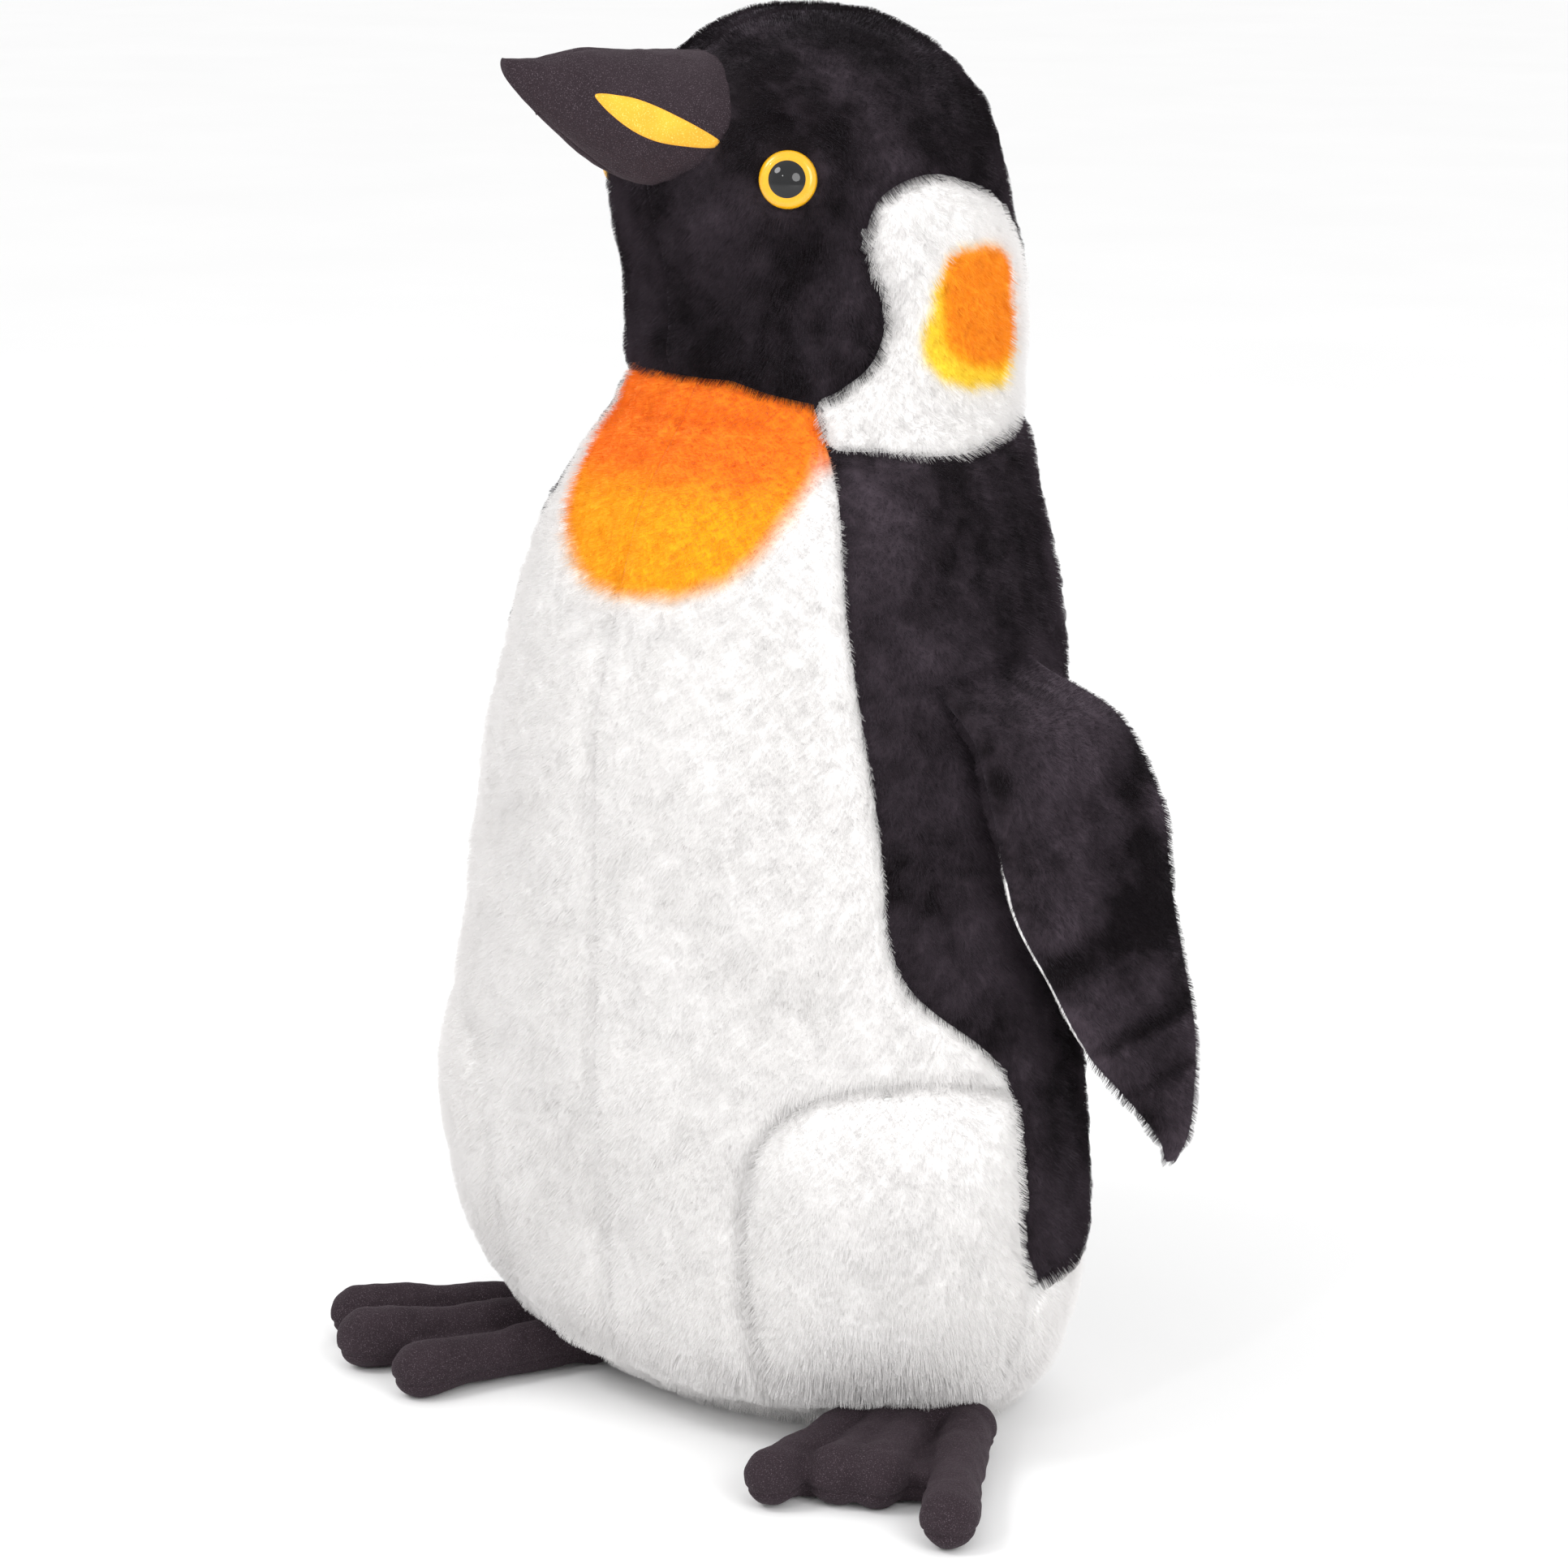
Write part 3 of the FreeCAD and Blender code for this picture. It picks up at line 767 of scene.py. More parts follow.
def relief(points):
    """Soft unevenness of stuffed plush, and the pull of the seams."""
    off_seam = distance(points, seams)
    off_faint = distance(points, faint)
    height = -PILE_STAND - GROOVE * np.exp(-(off_seam / GROOVE_WIDTH) ** 2)
    height -= FAINT * GROOVE * np.exp(-(off_faint / GROOVE_WIDTH) ** 2)
    height += lumps(points, (0.0016, 0.080, 11), (0.0005, 0.030, 12), (0.0002, 0.009, 13))
    far = smoothstep(0.02, -0.06, points[:, 0]) * smoothstep(0.06, 0.11, points[:, 2])
    height += FAR_SWELL * far * np.exp(-(distance(points, far_thigh) / SWELL_WIDTH) ** 2)
    return height, off_seam


def under_patch(places):
    """True for each place on the trunk that a patch lies over."""
    hidden = np.zeros(len(places), bool)
    turns = (places[:, 0] + math.pi) % (2 * math.pi) - math.pi
    wrapped = np.stack([turns, places[:, 1]], -1)
    for loop in patches:
        hidden |= inside(wrapped, loop)
    return hidden


def off_eyes(points):
    """How far each point is from the nearer eye."""
    return np.min([np.linalg.norm(points - np.array(eye), axis=1) for eye in eyes.values()], axis=0)


def off_beak(points):
    """How far out from the beak's axis each point of the face is: under 1 is inside the beak."""
    local = moved(points, world_to_head)
    y = local[:, 1]
    middle, half_height, half_width = [read_off(BEAK[::-1], y, k) for k in (1, 2, 3)]
    rounds = ((local[:, 0] / (half_width * 0.97)) ** 2
              + ((local[:, 2] - middle) / (half_height * 0.97)) ** 2)
    return np.where(y < -0.03, rounds, 9.0)


BIB_MIDDLE = 0.006
BIB_HALVES = (0.062, 0.060)  # its reach to the left and to the right of its middle
BIB_STRAIGHT = 0.414         # it is widest down to this height,
BIB_DEPTH = 0.048            # and rounds off over this much below


def bib_paint(points):
    """Airbrushed bib: how much, and orange (1) or amber (0.5)."""
    x, z = points[:, 0], points[:, 2]
    frayed = lumps(points, (0.02, 0.012, 31), (0.04, 0.030, 32))
    half = np.where(x > BIB_MIDDLE, *BIB_HALVES)
    sideways = np.abs(x - BIB_MIDDLE) / half
    below = np.maximum(0, BIB_STRAIGHT - z) / BIB_DEPTH
    rounds = sideways ** 2.6 + below ** 2.2
    cover = (1 - smoothstep(0.76, 1.16, rounds + frayed)) * (points[:, 1] < 0.02)
    edge = smoothstep(0.55, 0.95, rounds) * smoothstep(0.375, 0.400, z)
    tone = np.maximum(smoothstep(0.400, 0.422, z + 0.003 * waves(points, 0.02, 33)), 0.6 * edge)
    return cover, 0.5 + 0.5 * tone


EAR_HEIGHT = 0.481           # the middle of the airbrushed ear patch
EAR_HALVES = (0.0275, 0.0315)  # half its width there, and half its height


def ear_paint(points):
    """Airbrushed ear patch: how much, and its colour, from yellow (0) through amber (0.5)."""
    local = moved(points, world_to_head)
    y, z = local[:, 1], local[:, 2]
    frayed = lumps(points, (0.07, 0.010, 41), (0.07, 0.022, 42))
    up = z - EAR_HEIGHT
    middle = 0.0215 + 0.12 * up
    half = EAR_HALVES[0] - 0.16 * up
    slanted = up + 0.2 * (y - 0.02)
    rounds = (np.abs(y - middle) / half) ** 3.2 + (np.abs(slanted) / EAR_HALVES[1]) ** 3.2
    cover = 1 - smoothstep(0.72, 1.18, rounds + frayed)
    inner = (np.abs(y - 0.026) / 0.0255) ** 3 + (np.abs(slanted - 0.005) / 0.028) ** 3
    tone = 1 - smoothstep(0.5, 1.25, inner + 1.4 * frayed)
    return cover, 0.76 * tone


def painted_sheen_and_shade(points, seed):
    """Painted sheen and shade of the pile, 0 to 1: lighter patches where the pile would catch the light,
    and painted shade over the crown.
    """
    spots = lumps(points, (0.5, 0.026, seed), (0.9, 0.060, seed + 1))
    return 0.55 + 0.18 * spots - 0.21 * smoothstep(0.525, 0.565, points[:, 2])


def dress(piece, points, off_seam, hidden, body_paint=None, seed=1, long_edge=0.0):
    """Colour masks, pile and backing of one fabric panel."""
    red = green = np.zeros(len(points))
    if body_paint:
        red, green = body_paint(points)
    # Blue carries the pile's painted sheen and shade
    paint(piece, red, green, painted_sheen_and_shade(points, 50))
    covered = np.where(hidden, 0.0, 1.0)
    length = PILE_USUAL - 0.08 * (red > 0.5) + long_edge * np.exp(-(off_seam / 0.006) ** 2)
    length += FRINGE * (1 - smoothstep(0.032, 0.046, points[:, 2]))
    length *= SHORT_PILE + (1 - SHORT_PILE) * smoothstep(1.0, 1.5, off_beak(points))
    off_eye = off_eyes(points)
    covered *= smoothstep(*EYE_BARE, off_eye)
    length *= SHORT_PILE + (1 - SHORT_PILE) * smoothstep(*EYE_SHORT, off_eye)
    grow_pile(piece, covered, length, seed)
    thicken(piece, BACKING)


def crown(points, columns):
    """Rings that close half of the crown, from the panel's last row to the middle of the head."""
    rim = points[-columns:]
    middle = (rim[0] + rim[-1]) / 2
    share = np.linspace(0, 1, CROWN_RINGS + 1)[1:, None, None]
    rings = rim + (middle - rim) * share
    rings[:, :, 2] += CROWN_RISE * (1 - (1 - share[:, :, 0]) ** 2)
    return rings.reshape(-1, 3)


def twist_with_neck(piece):
    """Bakes the piece's placing into its mesh."""
    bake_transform(piece)


def trunk_panel(name, turns, heights, material, node, paint_with=None, seed=1, crowned=False):
    """A plush panel over the trunk; turns and heights are grids of places on it."""
    rows, columns = turns.shape
    places = np.stack([turns.ravel(), heights.ravel()], -1)
    points = surface(places[:, 0], places[:, 1])
    normals = normal_of(surface, places[:, 0], np.maximum(places[:, 1], NORMAL_FROM))
    height, off_seam = relief(points)
    hidden = under_patch(places)
    off_edge = distance(points, patch_edges)
    height -= np.where(hidden, TUCK * smoothstep(0, 0.005, off_edge), 0)
    low = 1 - smoothstep(0.0, 0.010, places[:, 1])
    height *= 1 - low
    off_eye = off_eyes(points)
    height -= EYE_DEPTH * (1 - smoothstep(*EYE_SINK, off_eye))
    height += PILE_STAND * (1 - smoothstep(*EYE_RISE, off_eye))
    bare = hidden & (off_edge > 0.0015) | (off_beak(points) < 1)
    points = clear_feet(points + normals * height[:, None])
    if crowned:
        top = crown(points, columns)
        points = np.concatenate([points, top])
        off_seam = np.concatenate([off_seam, np.full(len(top), 1.0)])
        bare = np.concatenate([bare, np.zeros(len(top), bool)])
        rows += CROWN_RINGS
    piece = make_object(name, points, quads(rows, columns, False), material)
    face_outward(piece, normals)
    dress(piece, points, off_seam, bare, paint_with, seed)
    twist_with_neck(piece)
    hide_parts(node)


def cells(length):
    """How many vertices a row of mesh cells has."""
    return max(3, int(round(length / GRID)) + 1)


def panel_grid(tall, wide, guess, side, turns_of, hem_of):
    """Turns and heights of a body panel, from its hem to the neck seam, found in a few rounds."""
    share_up = np.linspace(0, 1, cells(tall))[:, None]
    share_round = np.linspace(0, 1, cells(wide))[None, :]
    heights = guess[0] + (guess[1] - guess[0]) * share_up + 0 * share_round
    for _ in range(6):
        turns = turns_of(np.interp(heights, flank_heights, flank_turns), share_round)
        low = hem_of(turns)
        top = neck_height(turns * side - HEAD_TURN)
        heights = low + (top - low) * share_up
    return turns * side, heights


def make_belly(name, side):
    turns, heights = panel_grid(0.46, 0.19, (0.034, 0.44), side,
                                lambda flank, share: share * flank, hem_height)
    trunk_panel("belly_fabric_" + name, turns, heights, white_plush, "belly_panel_" + name,
                paint_with=bib_paint, seed=3 + side)


def make_back(name, side):
    turns, heights = panel_grid(0.37, 0.21, (0.08, 0.43), side,
                                lambda flank, share: flank + (math.pi - flank) * share,
                                lambda turns: hem_height(math.pi))
    trunk_panel("back_fabric_" + name, turns, heights, black_plush, "back_panel_" + name,
                seed=7 + side)


def make_underside():
    """The white bottom: flat where the toy sits, then up round the sides to the hem."""
    rows, columns = cells(0.16), cells(0.80)
    turns = np.linspace(-math.pi, math.pi, columns, endpoint=False)[None, :]
    share = np.linspace(0.02, 1, rows)[:, None]
    up = np.maximum(0, (share - BASE_SHARE) / (1 - BASE_SHARE)) * hem_height(turns)
    places_z = up.ravel()
    all_turns = (turns + 0 * share).ravel()
    points = surface(all_turns, np.maximum(places_z, 0.0012))
    middle = np.array([0, body.middle[0], 0.0])
    pull = np.minimum(1, share / BASE_SHARE + 0 * turns).ravel()[:, None]
    flat = middle + (points - middle) * pull
    flat[:, 2] = places_z
    height, off_seam = relief(points)
    normals = normal_of(surface, all_turns, np.maximum(places_z, NORMAL_FROM))
    rising = smoothstep(0.002, 0.02, places_z)
    flat += normals * (height * rising)[:, None]
    flat = clear_feet(flat)
    faces = quads(rows, columns, True) + [list(range(columns))[::-1]]
    piece = make_object("underside_fabric", flat, faces, white_plush)
    if piece.data.polygons[-1].normal.z > 0:
        piece.data.flip_normals()
    standing = smoothstep(0.001, 0.012, flat[:, 2])
    dress(piece, flat, off_seam, standing < 0.5, seed=13)
    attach(piece, "torso")
    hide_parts("bottom_panel")


def make_head(name, side):
    """One black half of the head, from the neck seam to the crown."""
    rows, columns = cells(0.26), cells(0.25)
    top = crown_z - CROWN_RISE
    rise = 1 - (1 - np.linspace(0, 1, rows)[:, None]) ** 1.7
    local = np.linspace(0, math.pi, columns)[None, :] * side
    low = neck_height(local)
    heights = low + (top - low) * rise
    trunk_panel("head_fabric_" + name, local + HEAD_TURN + 0 * rise, heights, black_plush,
                "head_panel_" + name, seed=17 + side, crowned=True)


def filled(loop, radius):
    """Places and triangles that fill an outline; radius is the trunk's, about there."""
    flat = loop * [radius, 1]
    low, high = flat.min(axis=0), flat.max(axis=0)
    across = np.arange(low[0], high[0], GRID)
    up = np.arange(low[1], high[1], GRID * 0.87)
    grid = np.array([(x + 0.5 * GRID * (row % 2), z) for row, z in enumerate(up) for x in across])
    grid = grid[inside(grid, flat)]
    edge = KDTree(len(flat))
    for i, (x, z) in enumerate(flat):
        edge.insert((x, z, 0), i)
    edge.balance()
    grid = [spot for spot in grid if edge.find((spot[0], spot[1], 0))[2] > 0.6 * GRID]
    spots = [Vector(spot) for spot in flat] + [Vector(spot) for spot in grid]
    outline = [list(range(len(flat)))]
    spots, _, faces, _, _, _ = delaunay_2d_cdt(spots, [], outline, 1, 1e-7)
    return np.array(spots) / [radius, 1], faces


CLOTH_SETTINGS = {
    "use_pressure": True, "uniform_pressure_force": PAD_PRESSURE, "mass": 0.01,
    "tension_stiffness": 1.0, "compression_stiffness": 1.0, "shear_stiffness": 1.0,
    "bending_stiffness": 0.2,
}


def swell(piece, sewn):
    """Cloth simulation of a pad: it fills out under pressure, held by its sewn edge."""
    bpy.context.scene.frame_set(0)
    start = mesh_points(piece)
    group = piece.vertex_groups.new(name="sewn")
    group.add(np.flatnonzero(sewn).tolist(), 1, "REPLACE")
    modifier = piece.modifiers.new("swell", "CLOTH")
    cloth = modifier.settings
    cloth.vertex_group_mass = "sewn"
    cloth.effector_weights.gravity = 0
    for setting, value in CLOTH_SETTINGS.items():
        setattr(cloth, setting, value)
    modifier.point_cache.frame_end = PAD_FRAMES
    for step in range(1, PAD_FRAMES + 1):
        bpy.context.scene.frame_set(step)
    graph = bpy.context.evaluated_depsgraph_get()
    shape = piece.evaluated_get(graph).to_mesh()
    end = np.zeros(len(start) * 3)
    shape.vertices.foreach_get("co", end)
    piece.evaluated_get(graph).to_mesh_clear()
    piece.modifiers.clear()
    piece.vertex_groups.clear()
    bpy.context.scene.frame_set(1)
    moves = end.reshape(-1, 3) - start
    lengths = np.linalg.norm(moves, axis=1)[:, None] + 1e-12
    moves *= np.minimum(1, PAD_REACH / lengths)
    set_points(piece, start + moves)


def loop_patch(name, loop, radius, material, node, seed, puff, paint_with, blended):
    """A patch laid over the trunk, domed like a pad inside its outline."""
    places, faces = filled(loop, radius)
    points = surface(places[:, 0], places[:, 1])
    normals = normal_of(surface, places[:, 0], places[:, 1])
    height, off_seam = relief(points)
    off_edge = distance(points, patch_edges)
    height += puff(points, off_edge)
    points = clear_feet(points + normals * height[:, None])
    piece = make_object(name, points, faces, material)
    face_outward(piece, normals)
    if not blended:
        swell(piece, off_edge < SEWN)
        points = mesh_points(piece)
    dress(piece, points, off_seam, np.zeros(len(points), bool), paint_with,
          seed, 0.12)
    if blended:
        twist_with_neck(piece)
    else:
        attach(piece, "torso")
    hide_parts(node)


def thigh_puff(points, off_edge):
    """The pad's crown: fullest along its top, flatter towards the foot."""
    sharp = smoothstep(0, 0.030, off_edge) ** 0.6
    full = np.where(points[:, 0] > 0, sharp, smoothstep(-0.004, 0.042, off_edge))
    return read_off(THIGH_PUFF, points[:, 2]) * full


def cheek_puff(points, off_edge):
    return 0.0012 * smoothstep(0, 0.02, off_edge)


def make_trunk():
    for name, side in SIDES.items():
        loop_patch("thigh_fabric_" + name, thighs[name], 0.14, white_plush,
                   "thigh_panel_" + name, 23 + side, thigh_puff, None, False)
    for name, side in SIDES.items():
        make_belly(name, side)
        make_back(name, side)
        make_head(name, side)
        loop_patch("cheek_fabric_" + name, cheeks[name], 0.085, white_plush,
                   "cheek_patch_" + name, 27 + side, cheek_puff, ear_paint, True)
    make_underside()


# ---------------------------------------------------------------- beak

BEAK_ROWS, BEAK_COLUMNS = 72, 56
BEAK_MIDDLE = 0.566       # the height from which the suede is raised outwards
BROW = 0.22               # the beak's upper shoulders are this much narrower at its root,
BROW_FROM = -0.115        # and slope off from here


def beak_places(rows, columns, low_turn, high_turn):
    table = np.array(BEAK)
    along = np.linspace(0, 1, len(table))
    share = 1 - (1 - np.linspace(0, 1, rows)) ** 1.35
    smooth = np.polynomial.polynomial.Polynomial
    fits = [smooth.fit(along, table[:, k], 4)(share) for k in range(4)]
    turns = np.linspace(low_turn, high_turn, columns)
    y, middle, half_height, half_width = [fit[:, None] for fit in fits]
    slope = 1 - BROW * np.maximum(0, np.cos(turns)) * smoothstep(BROW_FROM, BEAK[0][0], y)
    return np.stack([half_width * np.sin(turns) * slope, y + 0 * turns,
                     middle + half_height * np.cos(turns)], -1)


def make_beak_half(name, side):
    """One suede half of the beak, from its top seam round to its bottom seam."""
    points = beak_places(BEAK_ROWS, BEAK_COLUMNS, 0, math.pi * side).reshape(-1, 3)
    tip = np.array([0, BEAK[-1][0] - 0.0012, BEAK[-1][1] + 0.0006])
    away = points - np.array([0, 0, BEAK_MIDDLE])
    away[:, 1] = 0
    away /= np.linalg.norm(away, axis=1)[:, None] + 1e-9
    off_seam = np.abs(points[:, 0])
    height = -0.0009 * np.exp(-(off_seam / 0.0018) ** 2)
    height += lumps(points, (0.0007, 0.030, 61), (0.00022, 0.008, 62))
    points = points + away * height[:, None]
    end = len(points)
    first = end - BEAK_COLUMNS
    faces = quads(BEAK_ROWS, BEAK_COLUMNS, False)
    faces += [(i, i + 1, end) for i in range(first, end - 1)]
    piece = make_object("beak_fabric_" + name, np.concatenate([points, [tip]]), faces, suede)
    middle_index = (BEAK_ROWS // 2) * (BEAK_COLUMNS - 1) + BEAK_COLUMNS // 2
    if piece.data.polygons[middle_index].normal.x * side < 0:
        piece.data.flip_normals()
    piece.data.transform(head_to_world)
    thicken(piece, SUEDE)
    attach(piece, "head")
    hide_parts("beak_panel_" + name)
    return piece


def make_stripe(name, side, beak_tree):
    """An amber felt stripe, laid on the suede along rays from the side."""
    loop = smooth_curve(STRIPE, 150)
    rings = 14
    middle = loop.mean(axis=0)
    share = np.linspace(0.02, 1, rings)[:, None, None]
    places = (middle + (loop[None] - middle) * share).reshape(-1, 2)
    points = []
    for (y, z), edge in zip(places, np.repeat(share.ravel(), len(loop))):
        start = head_to_world @ Vector((0.1 * side, y, z))
        way = head_to_world.to_3x3() @ Vector((-side, 0, 0))
        spot, normal, _, _ = beak_tree.ray_cast(start, way)
        spot = spot + normal * (STRIPE_UP - STRIPE_TUCK * smoothstep(0.86, 1.0, edge))
        points.append(spot)
    faces = quads(rings, len(loop), True) + [list(range(len(loop)))[::-1]]
    piece = make_object("beak_stripe_fabric_" + name, points, faces, felt)
    face_towards(piece, head_to_world.to_3x3() @ Vector((side, 0, 0)))
    thicken(piece, FELT)
    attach(piece, "head")
    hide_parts("beak_stripe_" + name)


def make_beak():
    halves = [make_beak_half(name, side) for name, side in SIDES.items()]
    beak_tree = ray_tree(halves)
    for name, side in SIDES.items():
        make_stripe(name, side, beak_tree)


# ---------------------------------------------------------------- flippers

# Flipper: level sections (distance down, middle, half width, half thickness)
FLIPPER = [
    (-0.022, 0.000, 0.020, 0.0070), (-0.010, -0.004, 0.027, 0.0085),
    (0.000, -0.006, 0.032, 0.0090), (0.025, 0.006, 0.041, 0.0105), (0.065, 0.014, 0.0465, 0.0115),
    (0.100, 0.013, 0.045, 0.0115), (0.130, 0.0185, 0.039, 0.0105), (0.160, 0.0245, 0.0325, 0.0092),
    (0.185, 0.031, 0.020, 0.0070), (0.203, 0.0335, 0.0085, 0.0042), (0.2135, 0.0295, 0.0022, 0.0018),
]
FLIPPER_SPLAY = math.radians(17)
FLIPPER_SWEEP = {"left": 0.0, "right": math.radians(8)}  # how far its tip is set back
# How far the black outer fabric wraps round the edges, in radians, at each distance down
FLIPPER_WRAP = [
    (0.0, 0.7), (0.070, 0.6), (0.086, 0.0), (0.160, 0.0), (0.176, 0.5), (0.19, 0.8), (0.21, 1.4),
]
SHOULDER_IN = 0.022       # how deep the fabric above the shoulder runs in to the body,
SHOULDER = (-0.012, 0.034)   # and between which distances down it curves in
REAR_WRAP = 0.45          # how far the outer fabric wraps round the rear edge, in radians
# Folds across a flipper: distance down, width, depth as a share of FOLD_DEPTH; the same depths also
# darken the pile as painted shade in the folds
FOLD_DEPTH = 0.0020
FOLDS = [(0.060, 0.009, 0.30), (0.117, 0.0095, 1.0), (0.157, 0.0045, 0.6), (0.180, 0.003, 0.3)]
FLIPPER_ROWS, FLIPPER_COLUMNS = 96, 40


def flipper_matrix(name, side):
    """From flipper axes (rear edge, inner face, up) to the world."""
    root = Matrix.Translation(Vector(joints["flipper_%s_lift" % name]["pos_m"]))
    faces = outward("flipper_%s_lift" % name)
    turn = math.atan2(faces.x * side, -faces.y)
    hang = Matrix.Rotation(turn, 4, "Z") @ Matrix.Rotation(-FLIPPER_SPLAY, 4, "X")
    hang = hang @ Matrix.Rotation(-FLIPPER_SWEEP[name], 4, "Y")
    if side < 0:
        mirror = Matrix.Scale(-1, 4, Vector((1, 0, 0)))
        return root @ mirror @ hang
    return root @ hang


def pull_shoulder(points, matrix):
    """Moves the top of a flipper's filling in to the body with its fabric."""
    local = moved(points, matrix.inverted())
    local[:, 1] += SHOULDER_IN * (1 - smoothstep(*SHOULDER, -local[:, 2]))
    return moved(local, matrix)


def make_flipper_side(name, side, outer):
    """One face of a flipper: the black outer one or the white lining."""
    sections = smooth_curve(FLIPPER, FLIPPER_ROWS, closed=False)
    down, middle, half_width, half_thick = [sections[:, k, None] for k in range(4)]
    half_width = half_width - 0.8 * PILE_STAND * smoothstep(0.002, 0.020, half_width)
    half_thick = half_thick - 0.6 * PILE_STAND * smoothstep(0.002, 0.009, half_thick)
    face = -1 if outer else 1
    wrap = -face * read_off(FLIPPER_WRAP, down)
    rear = face * REAR_WRAP
    turns = rear + (math.pi + wrap - rear) * np.linspace(0, 1, FLIPPER_COLUMNS)[None, :]
    u = middle + half_width * np.cos(turns)
    v = face * half_thick * np.sign(np.sin(turns)) * np.abs(np.sin(turns)) ** 0.8
    v = v + SHOULDER_IN * (1 - smoothstep(*SHOULDER, down))
    points = np.stack([u, v, -down + 0 * turns], -1).reshape(-1, 3)
    edge = (half_width * (1 - np.abs(np.cos(turns)))).ravel()
    height = lumps(points, (0.0011, 0.045, 71), (0.0005, 0.016, 72))
    along = -points[:, 2] + 0.25 * (points[:, 0] - 0.02)
    folds = sum(depth * np.exp(-((along - place) / width) ** 2) for place, width, depth in FOLDS)
    height -= FOLD_DEPTH * folds
    height *= smoothstep(0, 0.006, edge)
    points[:, 1] += face * height
    node = ("flipper_outer_" if outer else "flipper_lining_") + name
    material = black_plush if outer else white_plush
    faces = quads(FLIPPER_ROWS, FLIPPER_COLUMNS, False)
    piece = make_object(node.replace("_" + name, "_fabric_" + name), points, faces, material)
    matrix = flipper_matrix(name, side)
    piece.data.transform(matrix)
    face_towards(piece, matrix.to_3x3() @ Vector((0, face, 0)))
    world = mesh_points(piece)
    # Painted sheen and shade on the pile: sheen patches, a lighter band below the deepest fold, and
    # painted shade in the folds
    shade = painted_sheen_and_shade(world, 50) + 0.05 + 0.10 * waves(world, 0.024, 74)
    shade += 0.16 * smoothstep(0.124, 0.144, along) - 0.60 * folds
    paint(piece, np.zeros(len(world)), np.zeros(len(world)), shade)
    length = 0.08 + 0.34 * smoothstep(0, 0.012, edge)
    covered = np.ones(len(world))
    if outer:
        length = 0.30 + 0.20 * smoothstep(0, 0.008, edge)
    else:
        covered = smoothstep(0.030, 0.040, (down + 0 * turns).ravel())
        covered *= smoothstep(0.002, 0.006, edge)
    grow_pile(piece, covered, length, 81 + side + 4 * outer)
    thicken(piece, BACKING)
    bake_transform(piece)
    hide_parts(node)


def make_flippers():
    for name, side in SIDES.items():
        for outer in (True, False):
            make_flipper_side(name, side, outer)


# ---------------------------------------------------------------- feet

TOE_Z = 0.0125
ANKLE_HALF = 0.024
SOLE_SEAM = 0.0085
ANKLE_ROLL = 0.0125       # radius of the roll that the toes spring from
ROUND_SHARE = 0.3         # share of a bar's rings that make each of its round ends
KNUCKLE = 0.62            # how far along a toe it is slimmest


def capsule(work, start, end, start_r, end_r):
    """A tapered bar with round ends."""
    axis = end - start
    count, rings = 28, 40
    turn_to = Vector((0, 0, 1)).rotation_difference(axis.normalized()).to_matrix()
    length = axis.length
    loops = []
    for i in range(rings + 1):
        share = i / rings
        if share < ROUND_SHARE:
            angle = share / ROUND_SHARE * math.pi / 2
            z, r = -start_r * math.cos(angle), start_r * math.sin(angle)
        elif share > 1 - ROUND_SHARE:
            angle = (share - (1 - ROUND_SHARE)) / ROUND_SHARE * math.pi / 2
            z, r = length + end_r * math.sin(angle), end_r * math.cos(angle)
        else:
            k = (share - ROUND_SHARE) / (1 - 2 * ROUND_SHARE)
            z, r = length * k, start_r + (end_r - start_r) * k
        r = max(r, 0.0004)
        loop = []
        for j in range(count):
            a = 2 * math.pi * j / count
            loop.append(work.verts.new(start + turn_to @ Vector((r * math.cos(a), r * math.sin(a), z))))
        loops.append(loop)
    for low, high in zip(loops, loops[1:]):
        for j in range(count):
            work.faces.new((low[j], low[(j + 1) % count], high[(j + 1) % count], high[j]))
    work.faces.new(loops[0][::-1])
    work.faces.new(loops[-1])


def web(work, name):
    """The flat web between the toes, as a closed block."""
    toes = TOES[name]
    outline = [(toes[0][0], 0)]
    for root_x, tip_x, reach, _, _ in toes:
        share = min(WEB_SHARE, WEB_REACH[name] / reach)
        outline.append((root_x + (tip_x - root_x) * share, -reach * share))
    outline.append((toes[-1][0], 0))
    low = [work.verts.new((x, y, WEB_LOW)) for x, y in outline]
    high = [work.verts.new((x, y, WEB_HIGH)) for x, y in outline]
    work.faces.new(low[::-1])
    work.faces.new(high)
    for i in range(len(outline)):
        j = (i + 1) % len(outline)
        work.faces.new((low[i], low[j], high[j], high[i]))


